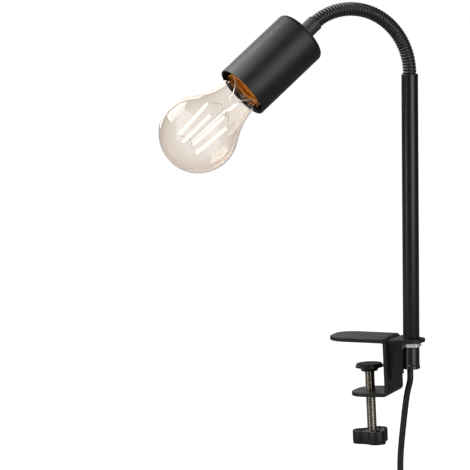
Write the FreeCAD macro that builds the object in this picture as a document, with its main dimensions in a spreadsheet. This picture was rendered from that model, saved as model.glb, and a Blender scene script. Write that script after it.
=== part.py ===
import FreeCAD, Part
import math
import os
import re

import Sketcher
from FreeCAD import Placement, Rotation, Vector

# Desk-clamp reading lamp with a bent-steel clamp, a pole, a gooseneck and an E27 cup.
# Frame: millimetres, +Z up, +X from the clamp screw towards the pole. The origin lies where the
# screw's axis meets the seat, the underside of the upper jaw.

doc = FreeCAD.newDocument("ClampLamp")
sheet = doc.addObject("Spreadsheet::Sheet", "Sizes")

SIZES = (
    # clamp of bent sheet, with its lower half splayed a little
    ("clamp_sheet", 3.0),
    ("clamp_width", 39.0),
    ("jaw_depth", 18.0),
    ("jaw_height", 40.0),
    ("upper_reach", 29.3),
    ("lower_reach", 31.2),
    ("splay", 2.2),
    ("clamp_bend", 1.0),
    ("upper_corner", 15.0),
    ("lower_corner", 15.0),
    # angle bracket that carries the pole
    ("bracket_sheet", 2.5),
    ("bracket_width", 30.0),
    ("bracket_top", 2.2),
    ("bracket_drop", 30.7),
    ("bracket_bend", 2.3),
    ("pole_offset", 17.5),
    ("ear_radius", 11.0),
    # pole and its fixing
    ("pole_diameter", 13.0),
    ("pole_wall", 1.0),
    ("pole_length", 207.0),
    ("nipple_diameter", 10.0),
    ("nipple_bore", 7.4),
    ("nipple_grip", 9.0),
    ("nipple_recess", 2.0),
    ("thread_gap", 0.1),
    ("seat_gap", 0.05),
    ("bush_length", 14.0),
    ("washer_diameter", 16.0),
    ("washer_sheet", 0.8),
    ("nut_flats", 14.0),
    ("nut_height", 3.2),
    ("nut_turn", 21.0),
    ("grip_diameter", 13.0),
    ("grip_length", 17.4),
    ("grip_lip", 0.4),
    ("grip_lip_height", 3.0),
    ("grip_floor", 6.0),
    ("grip_hole_shift", -0.8),
    ("edge_break", 0.6),
    ("grub_diameter", 3.0),
    ("grub_length", 3.2),
    ("slot_depth", 0.8),
    ("slot_width", 0.6),
    ("wire_diameter", 2.0),
    ("wire_spacing", 2.6),
    ("wire_end_gap", 1.0),
    # clamp screw, pressure foot and knob
    ("screw_diameter", 7.6),
    ("screw_play", 0.05),
    ("board_thickness", 19.0),
    ("foot_diameter", 22.0),
    ("foot_plate", 2.5),
    ("foot_boss", 13.0),
    ("foot_height", 5.0),
    ("foot_pad", 1.0),
    ("foot_pad_margin", 1.0),
    ("foot_crown", 1.0),
    ("foot_boss_draft", 1.0),
    ("foot_edge", 0.4),
    ("screw_tip", 5.0),
    ("screw_chamfer", 0.8),
    ("tip_chamfer", 0.5),
    ("knob_top", 71.7),
    ("knob_height", 10.8),
    ("knob_hub", 10.5),
    ("lobe_radius", 7.0),
    ("lobe_offset", 8.6),
    ("lobe_turn", 72.0),
    ("knob_rim", 2.0),
    ("knob_recess", 2.0),
    ("knob_boss", 6.5),
    ("knob_floor", 2.5),
    # gooseneck, as a chain of ball-ended links round an arc
    ("neck_diameter", 10.7),
    ("neck_bore", 5.0),
    ("neck_radius", 51.8),
    ("neck_turn", 124.0),
    ("neck_heading", 225.0),
    ("neck_end_lean", 5.2),
    ("neck_play", 0.3),
    ("neck_stem", 8.0),
    ("neck_stem_length", 12.0),
    ("neck_tail", 7.5),
    ("lap", 1.0),
    # cup and lampholder, along the head's own axis
    ("ferrule_diameter", 12.4),
    ("ferrule_length", 14.4),
    ("ferrule_mouth", 8.0),
    ("head_tube_gap", 0.5),
    ("cup_diameter", 43.6),
    ("cup_length", 66.0),
    ("cup_wall", 1.1),
    ("cup_corner", 4.0),
    ("holder_diameter", 36.8),
    ("holder_recess", 5.4),
    ("holder_base_length", 15.0),
    ("holder_wall", 3.4),
    ("holder_floor", 4.0),
    ("holder_shoulder", 3.0),
    ("holder_edge", 1.0),
    ("shell_bore", 27.0),
    ("shell_wall", 0.4),
    ("shell_length", 19.0),
    ("shell_recess", 1.0),
    ("contact_diameter", 9.0),
    ("contact_sheet", 0.6),
    ("terminal_diameter", 5.0),
    ("terminal_length", 6.0),
    ("terminal_spacing", 15.0),
    # filament bulb, along the same axis
    ("bulb_diameter", 60.0),
    ("bulb_length", 104.6),
    ("bulb_glass", 0.8),
    ("bulb_neck", 30.4),
    ("bulb_flare_start", 25.0),
    ("cap_diameter", 26.4),
    ("cap_wall", 0.4),
    ("cap_length", 26.5),
    ("cap_collar", 31.6),
    ("cap_collar_length", 3.2),
    ("cap_start", 6.5),
    ("cap_shoulder", 2.0),
    ("tip_diameter", 9.6),
    ("tip_height", 2.0),
    ("tip_slope", 1.0),
    ("cap_seat", 22.5),
    ("stem_diameter", 9.0),
    ("stem_gap", 0.3),
    ("stem_root", 2.0),
    ("stem_flare", 5.0),
    ("stem_flare_step", 2.0),
    ("stem_press", 18.0),
    ("stem_rod_start", 27.0),
    ("stem_rod_root", 3.2),
    ("stem_rod_tip", 2.4),
    ("stem_top", 84.0),
    ("filament_diameter", 1.6),
    ("filament_length", 34.0),
    ("filament_middle", 70.4),
    ("filament_root_spread", 12.5),
    ("filament_spread", 10.0),
    ("lead_diameter", 0.8),
    ("lead_foot", 20.0),
    ("lead_foot_spread", 3.9),
    # mains lead with its switch and plug
    ("cord_diameter", 5.0),
    ("cord_gap", 0.3),
    ("coil_radius", 29.0),
    ("coil_thickness", 15.0),
    ("coil_drop", 206.0),
    ("coil_press", 2.0),
    ("cord_hold", 3.0),
    ("cord_end_gap", 0.5),
    ("tie_width", 8.0),
    ("tie_sheet", 1.0),
    ("tie_gap", 0.5),
    ("switch_length", 54.0),
    ("switch_width", 24.0),
    ("switch_depth", 17.0),
    ("switch_wall", 2.0),
    ("switch_corner", 2.5),
    ("switch_drop", 116.0),
    ("rocker_length", 16.0),
    ("rocker_width", 9.0),
    ("rocker_rise", 2.5),
    ("rocker_tilt", 9.0),
    ("rocker_play", 0.5),
    ("post_diameter", 4.0),
    ("case_screw", 2.2),
    ("case_screw_aside", 7.0),
    ("case_screw_inset", 8.0),
    ("contact_width", 4.0),
    ("plug_length", 36.0),
    ("plug_width", 35.3),
    ("plug_depth", 13.7),
    ("plug_shoulder", 16.2),
    ("plug_crown", 7.2),
    ("plug_boot", 10.0),
    ("boot_wall", 1.0),
    ("boot_floor", 1.5),
    ("plug_boot_diameter", 9.0),
    ("plug_tail", 10.0),
    ("pin_diameter", 4.0),
    ("pin_length", 19.0),
    ("pin_spacing", 18.6),
    ("pin_root", 6.0),
    ("pin_shank", 3.2),
)

for row, (alias, value) in enumerate(SIZES, start=1):
    sheet.set(f"A{row}", alias)
    sheet.set(f"B{row}", str(value))
    sheet.setAlias(f"B{row}", alias)
doc.recompute()

NEAR = 0.05  # how close a found edge lies to the place asked for
ALIAS = re.compile(r"\b[a-z]\w*\b(?!\()")
nodes = []


def size(alias):
    return float(sheet.get(alias))


def bound(text):
    """The expression with every alias pointing at its cell."""
    return ALIAS.sub(lambda found: "Sizes." + found.group(0), str(text))


def bind(item, **properties):
    """Ties an object's properties to expressions of the sheet's aliases."""
    for name, text in properties.items():
        item.setExpression(name, bound(text))
    return item


def node(item, label, place=None):
    """Keeps an object as a sub-part, under the name of its file."""
    item.Label = label
    if place is not None:
        item.Placement = place
    nodes.append(item)
    return item


def plane(body, role):
    return next(f for f in body.Origin.OriginFeatures if f.Role == role)


def outline(body, name, role, corners):
    """A closed sketch of straight lines, with each corner's two coordinates tied to the sheet."""
    sketch = body.newObject("Sketcher::SketchObject", name + "_outline")
    sketch.AttachmentSupport = [(plane(body, role), "")]
    sketch.MapMode = "FlatFace"
    count = len(corners)
    ring = [
        Vector(math.cos(2 * math.pi * i / count), math.sin(2 * math.pi * i / count), 0)
        for i in range(count)
    ]
    for i in range(count):
        sketch.addGeometry(Part.LineSegment(ring[i], ring[(i + 1) % count]))
    for i in range(count):
        sketch.addConstraint(Sketcher.Constraint("Coincident", i, 2, (i + 1) % count, 1))
    for i, (across, along) in enumerate(corners):
        for kind, text in (("DistanceX", across), ("DistanceY", along)):
            number = sketch.addConstraint(Sketcher.Constraint(kind, -1, 1, i, 1, 0.0))
            sketch.setExpression(f"Constraints[{number}]", bound(text))
    return sketch


def turned(name, corners):
    """A piece turned about its own Z axis, from a closed outline of (radius, height) corners."""
    body = doc.addObject("PartDesign::Body", name + "_body")
    sketch = outline(body, name, "XZ_Plane", corners)
    turn = body.newObject("PartDesign::Revolution", name + "_turn")
    turn.Profile = sketch
    turn.ReferenceAxis = (sketch, ["V_Axis"])
    turn.Angle = 360
    sketch.Visibility = False
    return body


def ring(name, outer, inner, low, high):
    """A tube or washer between two heights."""
    return turned(name, ((inner, low), (outer, low), (outer, high), (inner, high)))


def padded(name, role, corners, depth):
    """A flat outline made solid by half its depth to each side of its plane."""
    body = doc.addObject("PartDesign::Body", name + "_body")
    sketch = outline(body, name, role, corners)
    pad = body.newObject("PartDesign::Pad", name + "_pad")
    pad.Profile = sketch
    pad.Midplane = True
    bind(pad, Length=depth)
    doc.recompute()
    return body


def rounded(body, name, spots, radius):
    """Rounds the edges whose middles lie at the given spots."""
    base = body.Tip
    chosen = [
        f"Edge{i}"
        for i, edge in enumerate(base.Shape.Edges, start=1)
        if any(edge.CenterOfMass.isEqual(spot, NEAR) for spot in spots)
    ]
    fillet = body.newObject("PartDesign::Fillet", name)
    fillet.Base = (base, chosen)
    bind(fillet, Radius=radius)
    doc.recompute()
    return body


def rod(name, diameter, height, **place):
    """A plain cylinder, with its base moved by bound coordinates."""
    item = doc.addObject("Part::Cylinder", name)
    bind(item, Radius=f"({diameter}) / 2", Height=height)
    for axis, text in place.items():
        item.setExpression("Placement.Base." + axis, bound(text))
    return item


def block(name, length, width, height, **place):
    """A box centred on X and Y, with its base at the given height."""
    item = doc.addObject("Part::Box", name)
    bind(item, Length=length, Width=width, Height=height)
    for axis, text in (("x", f"-({length}) / 2"), ("y", f"-({width}) / 2")):
        item.setExpression("Placement.Base." + axis, bound(f"{text} + ({place.get(axis, 0)})"))
    item.setExpression("Placement.Base.z", bound(place.get("z", "0")))
    return item


def ball(name, diameter, height):
    item = doc.addObject("Part::Sphere", name)
    bind(item, Radius=f"({diameter}) / 2")
    item.setExpression("Placement.Base.z", bound(height))
    return item


def fused(name, *pieces):
    item = doc.addObject("Part::MultiFuse", name)
    item.Shapes = list(pieces)
    return item


def cut(name, base, tool):
    item = doc.addObject("Part::Cut", name)
    item.Base = base
    item.Tool = tool
    return item


def group(name, *solids):
    """Like pieces that share one node and stay separate solids."""
    item = doc.addObject("Part::Compound", name)
    item.Links = list(solids)
    return item


def nut(name, bore, low):
    """A hexagon nut whose lower face lies at the given height."""
    prism = doc.addObject("Part::Prism", name + "_hexagon")
    prism.Polygon = 6
    bind(prism, Circumradius="nut_flats / 2 / cos(30)", Height="nut_height")
    prism.setExpression("Placement.Base.z", bound(low))
    return cut(name, prism, rod(name + "_hole", bore, "nut_height", z=low))


def arc_points(centre, radius, start, end):
    """Start, middle and end of an arc in the XZ plane, with angles in degrees from +X."""
    angles = (start, (start + end) / 2, end)
    return [
        centre + Vector(math.cos(math.radians(a)), 0, math.sin(math.radians(a))) * radius
        for a in angles
    ]


# ---------------------------------------------------------------- clamp bracket
# One strip of sheet, bent twice. The back and the lower jaw lean by the splay.

splay = math.radians(size("splay"))
leaning = Placement(Vector(), Rotation(Vector(0, 1, 0), -size("splay")))


def leant(across, along):
    """Expressions for a point given in the leaning frame of the back and the lower jaw."""
    return (
        f"({across}) * cos(splay) - ({along}) * sin(splay)",
        f"({across}) * sin(splay) + ({along}) * cos(splay)",
    )


clamp = padded(
    "clamp",
    "XZ_Plane",
    (
        ("-upper_reach", "0"),
        ("jaw_depth / cos(splay)", "0"),
        leant("jaw_depth", "-jaw_height"),
        leant("jaw_depth - lower_reach", "-jaw_height"),
        leant("jaw_depth - lower_reach", "-jaw_height - clamp_sheet"),
        leant("jaw_depth + clamp_sheet", "-jaw_height - clamp_sheet"),
        ("(jaw_depth + clamp_sheet - clamp_sheet * sin(splay)) / cos(splay)", "clamp_sheet"),
        ("-upper_reach", "clamp_sheet"),
    ),
    "clamp_width",
)
back = size("jaw_depth")
gauge = size("clamp_sheet")
low_end = back - size("lower_reach")
half = size("clamp_width") / 2
outer_bends = [
    Vector((back + gauge - gauge * math.sin(splay)) / math.cos(splay), 0, gauge),
    leaning.multVec(Vector(back + gauge, 0, -size("jaw_height") - gauge)),
]
inner_bends = [
    Vector(back / math.cos(splay), 0, 0),
    leaning.multVec(Vector(back, 0, -size("jaw_height"))),
]
upper_corners = [Vector(-size("upper_reach"), side * half, gauge / 2) for side in (-1, 1)]
lower_corners = [
    leaning.multVec(Vector(low_end, side * half, -size("jaw_height") - gauge / 2))
    for side in (-1, 1)
]
rounded(clamp, "clamp_outer_bends", outer_bends, "clamp_bend + clamp_sheet")
rounded(clamp, "clamp_inner_bends", inner_bends, "clamp_bend")
rounded(clamp, "clamp_upper_corners", upper_corners, "upper_corner")
rounded(clamp, "clamp_lower_corners", lower_corners, "lower_corner")
tapped = rod(
    "clamp_tapped_hole",
    "screw_diameter + 2 * screw_play",
    "clamp_sheet * 3",
)
tapped.Placement = Placement(
    leaning.multVec(Vector(0, 0, -size("jaw_height") - 2 * gauge)), leaning.Rotation
)
node(cut("clamp_with_hole", clamp, tapped), "clamp_bracket")

# ---------------------------------------------------------------- pole bracket
# An angle of thinner sheet, welded to the clamp's back. Its ear tapers to a round end.

POLE_X = "(jaw_depth + pole_offset)"
pole_x = back + size("pole_offset")


def back_face(height):
    """Where the clamp's outer face stands at a height, as an expression."""
    return f"(jaw_depth + clamp_sheet + seat_gap - ({height}) * sin(splay)) / cos(splay)"


BRACKET_FOOT = "bracket_top - bracket_drop"
flange = padded(
    "flange",
    "XZ_Plane",
    (
        (back_face(BRACKET_FOOT), BRACKET_FOOT),
        (back_face(BRACKET_FOOT) + " + bracket_sheet", BRACKET_FOOT),
        (back_face("bracket_top") + " + bracket_sheet", "bracket_top"),
        (back_face("bracket_top"), "bracket_top"),
    ),
    "bracket_width",
)
top = size("bracket_top")
face_x = (back + gauge + size("seat_gap") - top * math.sin(splay)) / math.cos(splay)
rounded(flange, "flange_bend", [Vector(face_x, 0, top)], "bracket_bend")

ear = doc.addObject("Sketcher::SketchObject", "ear_outline")
ear_root = face_x + size("bracket_sheet")
ear_half = size("bracket_width") / 2
ear_r = size("ear_radius")
lean = math.atan2(ear_half - ear_r, size("pole_offset"))
touch = Vector(pole_x + ear_r * math.sin(lean), ear_r * math.cos(lean), 0)
mirrored = Vector(touch.x, -touch.y, 0)
ear.addGeometry(Part.LineSegment(Vector(ear_root, -ear_half, 0), Vector(ear_root, ear_half, 0)))
ear.addGeometry(Part.LineSegment(Vector(ear_root, ear_half, 0), touch))
ear.addGeometry(Part.Arc(mirrored, Vector(pole_x + ear_r, 0, 0), touch))
ear.addGeometry(Part.LineSegment(mirrored, Vector(ear_root, -ear_half, 0)))
for first, end, second, start in ((0, 2, 1, 1), (3, 2, 0, 1)):
    ear.addConstraint(Sketcher.Constraint("Coincident", first, end, second, start))
ear.addConstraint(Sketcher.Constraint("Tangent", 1, 2, 2, 2))
ear.addConstraint(Sketcher.Constraint("Tangent", 2, 1, 3, 1))
for geometry, point, kind, text in (
    (0, 1, "DistanceX", back_face("bracket_top") + " + bracket_sheet * 0.5"),
    (0, 1, "DistanceY", "-bracket_width / 2"),
    (0, 2, "DistanceX", back_face("bracket_top") + " + bracket_sheet * 0.5"),
    (0, 2, "DistanceY", "bracket_width / 2"),
    (2, 3, "DistanceX", POLE_X),
    (2, 3, "DistanceY", "0"),
):
    number = ear.addConstraint(Sketcher.Constraint(kind, -1, 1, geometry, point, 0.0))
    ear.setExpression(f"Constraints[{number}]", bound(text))
number = ear.addConstraint(Sketcher.Constraint("Radius", 2, ear_r))
ear.setExpression(f"Constraints[{number}]", bound("ear_radius"))
ear.setExpression("Placement.Base.z", bound("bracket_top - bracket_sheet"))
ear_plate = doc.addObject("Part::Extrusion", "ear_plate")
ear_plate.Base = ear
ear_plate.DirMode = "Custom"
ear_plate.Dir = Vector(0, 0, 1)
ear_plate.Solid = True
bind(ear_plate, LengthFwd="bracket_sheet")
ear_hole = rod(
    "ear_hole",
    "nipple_diameter + 2 * thread_gap",
    "bracket_sheet * 3",
    x=POLE_X,
    z="bracket_top - bracket_sheet * 2",
)
node(cut("bracket_with_hole", fused("bracket", flange, ear_plate), ear_hole), "pole_bracket")

# ---------------------------------------------------------------- pole and its fixing
# The pole stands on the ear. A hollow nipple runs through it into the cord grip.

pole_base = Placement(Vector(pole_x, 0, top), Rotation())
node(
    ring("pole", "pole_diameter / 2", "pole_diameter / 2 - pole_wall", "seat_gap", "pole_length"),
    "pole_tube",
    pole_base,
)
PLUG = "pole_diameter / 2 - pole_wall - seat_gap"
node(
    ring("foot_bush", PLUG, "nipple_diameter / 2 + seat_gap", "seat_gap", "bush_length"),
    "pole_foot_bush",
    pole_base,
)
node(
    ring(
        "top_bush",
        PLUG,
        "neck_stem / 2 + screw_play",
        "pole_length - bush_length",
        "pole_length",
    ),
    "neck_bush",
    pole_base,
)
EAR_LOW = "-bracket_sheet"
WASHER_LOW = "(-bracket_sheet - seat_gap - washer_sheet)"
NUT_LOW = f"({WASHER_LOW} - seat_gap - nut_height)"
GRIP_TOP = f"({NUT_LOW} - seat_gap)"
GRIP_LOW = f"({GRIP_TOP} - grip_length)"
THREADED = "nipple_diameter / 2 + thread_gap"
node(
    ring(
        "nipple",
        "nipple_diameter / 2",
        "nipple_bore / 2",
        f"{GRIP_TOP} - nipple_grip",
        "bush_length - nipple_recess",
    ),
    "pole_nipple",
    pole_base,
)
node(
    ring("washer", "washer_diameter / 2", THREADED, WASHER_LOW, f"{EAR_LOW} - seat_gap"),
    "lock_washer",
    pole_base,
)
nut_place = pole_base.multiply(Placement(Vector(), Rotation(Vector(0, 0, 1), size("nut_turn"))))
node(nut("pole_fixing", "nipple_diameter + 2 * thread_gap", NUT_LOW), "pole_nut", nut_place)
grip = turned(
    "grip",
    (
        ("0", GRIP_LOW),
        ("grip_diameter / 2 + grip_lip - edge_break", GRIP_LOW),
        ("grip_diameter / 2 + grip_lip", f"{GRIP_LOW} + edge_break"),
        ("grip_diameter / 2 + grip_lip", f"{GRIP_LOW} + grip_lip_height"),
        ("grip_diameter / 2", f"{GRIP_LOW} + grip_lip_height + edge_break"),
        ("grip_diameter / 2", f"{GRIP_TOP} - edge_break"),
        ("grip_diameter / 2 - edge_break", GRIP_TOP),
        (THREADED, GRIP_TOP),
        (THREADED, f"{GRIP_LOW} + grip_floor"),
        ("0", f"{GRIP_LOW} + grip_floor"),
    ),
)
GRUB_Z = f"{GRIP_LOW} + grip_floor / 2"
grub_hole = rod("grub_hole", "grub_diameter + 2 * seat_gap", "grip_diameter", z=GRUB_Z)
grub_hole.Placement.Rotation = Rotation(Vector(1, 0, 0), -90)
grip_hole = rod(
    "grip_hole",
    "cord_diameter + 2 * cord_gap",
    "grip_floor * 2",
    x="grip_hole_shift",
    z=f"{GRIP_LOW} - grip_floor / 2",
)
node(cut("grip_with_holes", grip, fused("grip_cuts", grub_hole, grip_hole)), "cord_grip", pole_base)
grub = rod("grub", "grub_diameter", "grub_length", y="grip_diameter / 2 - grub_length", z=GRUB_Z)
grub.Placement.Rotation = Rotation(Vector(1, 0, 0), -90)
slot = block(
    "grub_slot",
    "grub_diameter * 2",
    "slot_depth * 2",
    "slot_width",
    y="grip_diameter / 2",
    z=GRUB_Z + " - slot_width / 2",
)
node(cut("grub_slotted", grub, slot), "cord_grip_screw", pole_base)
wires = [
    rod(
        f"pole_wire_{side}",
        "wire_diameter",
        f"pole_length - neck_stem_length - wire_end_gap - {GRIP_LOW} - grip_floor",
        x=f"{side} * wire_spacing / 2",
        z=f"{GRIP_LOW} + grip_floor + seat_gap",
    )
    for side in (-1, 1)
]
node(group("wire_pair", *wires), "pole_wires", pole_base)

# ---------------------------------------------------------------- clamp screw
# The foot swivels on the screw's tip. The lobed knob is moulded on its other end.

FOOT_TOP = "(-board_thickness)"
PAD_LOW = f"({FOOT_TOP} - foot_pad)"
PLATE_LOW = f"({PAD_LOW} - foot_plate)"
FOOT_LOW = f"({PAD_LOW} - foot_height)"
node(
    turned(
        "pad",
        (
            ("0", f"{PAD_LOW} + seat_gap"),
            ("foot_diameter / 2 - foot_pad_margin", f"{PAD_LOW} + seat_gap"),
            ("foot_diameter / 2 - foot_pad_margin", FOOT_TOP),
            ("0", FOOT_TOP),
        ),
    ),
    "foot_pad",
    leaning,
)
node(
    turned(
        "foot",
        (
            ("0", f"{PAD_LOW} - foot_crown"),
            ("screw_tip / 2 + screw_play", f"{PAD_LOW} - foot_crown"),
            ("screw_tip / 2 + screw_play", FOOT_LOW),
            ("foot_boss / 2", FOOT_LOW),
            ("foot_boss / 2 + foot_boss_draft", PLATE_LOW),
            ("foot_diameter / 2", f"{PLATE_LOW} + foot_edge"),
            ("foot_diameter / 2", f"{PAD_LOW} - foot_edge"),
            ("foot_diameter / 2 - foot_edge", PAD_LOW),
            ("0", PAD_LOW),
        ),
    ),
    "pressure_foot",
    leaning,
)
TIP_TOP = f"({PAD_LOW} - foot_crown - 2 * screw_play)"
SHOULDER = f"({FOOT_LOW} - 2 * screw_play)"
SCREW_END = "(-knob_top - knob_height + knob_floor)"
node(
    turned(
        "screw",
        (
            ("0", SCREW_END),
            ("screw_diameter / 2", SCREW_END),
            ("screw_diameter / 2", f"{SHOULDER} - screw_chamfer"),
            ("screw_diameter / 2 - screw_chamfer", SHOULDER),
            ("screw_tip / 2", SHOULDER),
            ("screw_tip / 2", f"{TIP_TOP} - tip_chamfer"),
            ("screw_tip / 2 - tip_chamfer", TIP_TOP),
            ("0", TIP_TOP),
        ),
    ),
    "clamp_screw",
    leaning,
)
KNOB_LOW = "(-knob_top - knob_height)"
lobes = []
hollows = []
for number in range(3):
    turn = f"lobe_turn + {number * 120}"
    spot = {"x": f"lobe_offset * cos({turn})", "y": f"lobe_offset * sin({turn})"}
    lobes.append(rod(f"knob_lobe_{number + 1}", "2 * lobe_radius", "knob_height", z=KNOB_LOW, **spot))
    hollows.append(
        rod(
            f"knob_hollow_{number + 1}",
            "2 * (lobe_radius - knob_rim)",
            "knob_recess",
            z="-knob_top - knob_recess",
            **spot,
        )
    )
hub = rod("knob_hub", "2 * knob_hub", "knob_height", z=KNOB_LOW)
middle = ring(
    "knob_middle",
    "knob_hub - knob_rim",
    "knob_boss",
    "-knob_top - knob_recess",
    "-knob_top",
)
socket = rod(
    "knob_socket",
    "screw_diameter + 2 * seat_gap",
    "knob_height",
    z=SCREW_END + " - seat_gap",
)
knob = cut("knob_hollowed", fused("knob_blank", hub, *lobes), fused("knob_cuts", middle, *hollows))
node(cut("knob", knob, socket), "clamp_knob", leaning)

# ---------------------------------------------------------------- gooseneck
# The neck follows an arc from the pole's top. Each link turns on the ball of the next one, and
# the links are the sides of a polygon round that arc. The last one leans a little further.

LINKS = 9
turn_each = size("neck_turn") / LINKS
arc_radius = size("neck_radius")
heading = math.radians(size("neck_heading"))
ahead = Vector(math.cos(heading), math.sin(heading), 0)
hinge_axis = Vector(0, 0, 1).cross(ahead)
neck_start = Vector(pole_x, 0, top + size("pole_length"))
LINK_PITCH = f"(2 * neck_radius * tan(neck_turn / {2 * LINKS}))"
SOCKET = "neck_diameter + 2 * neck_play"
RIM = "sqrt((neck_diameter / 2 + neck_play) ^ 2 - (neck_diameter / 2) ^ 2)"


def on_neck(turn, radius):
    """A point beside the arc's centre, at a turn from the pole's top and a radius."""
    angle = math.radians(turn)
    level = ahead * (arc_radius - radius * math.cos(angle))
    return neck_start + level + Vector(0, 0, radius * math.sin(angle))


def facing(turn):
    """The neck's direction after a turn, as a rotation of +Z."""
    return Rotation(hinge_axis, turn)


def socketed(name, body, height):
    """Hollows a link's far end for the next ball, and bores it for the wires."""
    seat = ball(name + "_seat", SOCKET, height)
    bore = rod(name + "_bore", "neck_bore", "neck_radius", z="-neck_radius / 2")
    return cut(name, body, fused(name + "_hollow", seat, bore))


vertex_radius = arc_radius / math.cos(math.radians(turn_each / 2))
last_joint = on_neck((LINKS - 0.5) * turn_each, vertex_radius)
head_turn = facing(size("neck_turn") + size("neck_end_lean"))
half_link = arc_radius * math.tan(math.radians(turn_each / 2))
stem = rod(
    "neck_root_stem",
    "neck_stem",
    "neck_stem_length + lap",
    z="-neck_stem_length",
)
collar = rod(
    "neck_root_collar",
    "neck_diameter",
    f"{LINK_PITCH} / 2 - {RIM} - 2 * seat_gap",
    z="2 * seat_gap",
)
root = fused("neck_root_blank", stem, collar)
node(
    socketed("neck_root_cut", root, f"{LINK_PITCH} / 2"),
    "neck_root",
    Placement(neck_start, Rotation()),
)
for number in range(1, LINKS):
    name = f"neck_link_{number}"
    tube = rod(name + "_tube", "neck_diameter", f"{LINK_PITCH} - {RIM}")
    blank = fused(name + "_blank", tube, ball(name + "_ball", "neck_diameter", "0"))
    spot = on_neck((number - 0.5) * turn_each, vertex_radius)
    node(
        socketed(name + "_cut", blank, LINK_PITCH),
        name,
        Placement(spot, facing(number * turn_each)),
    )
tube = rod("neck_tip_tube", "neck_diameter", f"{LINK_PITCH} / 2 + neck_tail")
blank = fused("neck_tip_blank", tube, ball("neck_tip_ball", "neck_diameter", "0"))
bore = rod("neck_tip_bore", "neck_bore", "neck_radius", z="-neck_radius / 2")
node(
    cut("neck_tip_cut", blank, bore),
    "neck_tip",
    Placement(last_joint, head_turn),
)

# ---------------------------------------------------------------- cup and lampholder
# All of the head's pieces stand on the head's axis, from the neck's end to the bulb's top.

head = Placement(last_joint + head_turn.multVec(Vector(0, 0, half_link)), head_turn)
CUP_END = "ferrule_length"
CUP_MOUTH = "(ferrule_length + cup_length)"
HOLDER_MOUTH = f"({CUP_MOUTH} - holder_recess)"
HOLDER_END = f"({CUP_END} + cup_wall + nut_height + 2 * seat_gap)"
node(
    turned(
        "ferrule",
        (
            ("neck_diameter / 2 + thread_gap", "0"),
            ("ferrule_diameter / 2 - edge_break", "0"),
            ("ferrule_diameter / 2", "edge_break"),
            ("ferrule_diameter / 2", "ferrule_length - seat_gap"),
            (THREADED, "ferrule_length - seat_gap"),
            (THREADED, "ferrule_mouth"),
            ("neck_diameter / 2 + thread_gap", "ferrule_mouth"),
        ),
    ),
    "neck_ferrule",
    head,
)
node(
    ring(
        "head_tube",
        "nipple_diameter / 2",
        "nipple_bore / 2",
        "ferrule_mouth + head_tube_gap",
        f"{HOLDER_END} + nipple_grip",
    ),
    "head_nipple",
    head,
)
cup = turned(
    "cup",
    (
        (THREADED, CUP_END),
        ("cup_diameter / 2", CUP_END),
        ("cup_diameter / 2", CUP_MOUTH),
        ("cup_diameter / 2 - cup_wall", CUP_MOUTH),
        ("cup_diameter / 2 - cup_wall", f"{CUP_END} + cup_wall"),
        (THREADED, f"{CUP_END} + cup_wall"),
    ),
)
doc.recompute()


def rim_edges(body, name, radius, height, fillet):
    """Rounds the circular edge of a turned piece at a radius and a height."""
    base = body.Tip
    chosen = [
        f"Edge{i}"
        for i, edge in enumerate(base.Shape.Edges, start=1)
        if abs(edge.BoundBox.ZMin - height) < NEAR
        and abs(edge.BoundBox.ZMax - height) < NEAR
        and abs(edge.BoundBox.XMax - radius) < NEAR
    ]
    item = body.newObject("PartDesign::Fillet", name)
    item.Base = (base, chosen)
    bind(item, Radius=fillet)
    doc.recompute()


cup_r = size("cup_diameter") / 2
cup_low = size("ferrule_length")
rim_edges(cup, "cup_corner_outside", cup_r, cup_low, "cup_corner")
rim_edges(
    cup,
    "cup_corner_inside",
    cup_r - size("cup_wall"),
    cup_low + size("cup_wall"),
    "cup_corner - cup_wall",
)
node(cup, "socket_cup", head)
node(
    nut("cup_fixing", "nipple_diameter + 2 * thread_gap", f"{CUP_END} + cup_wall + seat_gap"),
    "cup_nut",
    head,
)
BASE_TOP = f"({HOLDER_END} + holder_base_length)"
base_cap = turned(
    "holder_base",
    (
        (THREADED, HOLDER_END),
        ("holder_diameter / 2 - holder_shoulder", HOLDER_END),
        ("holder_diameter / 2", f"{HOLDER_END} + holder_shoulder"),
        ("holder_diameter / 2", BASE_TOP),
        ("holder_diameter / 2 - holder_wall", BASE_TOP),
        ("holder_diameter / 2 - holder_wall", f"{HOLDER_END} + nipple_grip"),
        (THREADED, f"{HOLDER_END} + nipple_grip"),
    ),
)
node(base_cap, "holder_base", head)
TIP_LOW = f"({HOLDER_MOUTH} - cap_seat)"
FLOOR_TOP = f"({TIP_LOW} - seat_gap * 2 - contact_sheet)"
FLOOR_LOW = f"({FLOOR_TOP} - holder_floor)"
floor_blank = turned(
    "holder_body",
    (
        ("0", FLOOR_LOW),
        ("holder_diameter / 2 - holder_wall", FLOOR_LOW),
        ("holder_diameter / 2 - holder_wall", f"{BASE_TOP} + seat_gap"),
        ("holder_diameter / 2", f"{BASE_TOP} + seat_gap"),
        ("holder_diameter / 2", f"{HOLDER_MOUTH} - holder_edge"),
        ("holder_diameter / 2 - holder_edge", HOLDER_MOUTH),
        ("shell_bore / 2 + shell_wall + seat_gap", HOLDER_MOUTH),
        ("shell_bore / 2 + shell_wall + seat_gap", f"{FLOOR_TOP} - seat_gap"),
        ("0", f"{FLOOR_TOP} - seat_gap"),
    ),
)
terminal_holes = fused(
    "terminal_holes",
    *[
        rod(
            f"terminal_hole_{side}",
            "terminal_diameter + 2 * seat_gap",
            "terminal_length",
            x=f"{side} * terminal_spacing / 2",
            z=f"{FLOOR_LOW} - terminal_length + holder_floor / 2",
        )
        for side in (-1, 1)
    ],
)
node(cut("holder_bored", floor_blank, terminal_holes), "holder_body", head)
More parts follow.
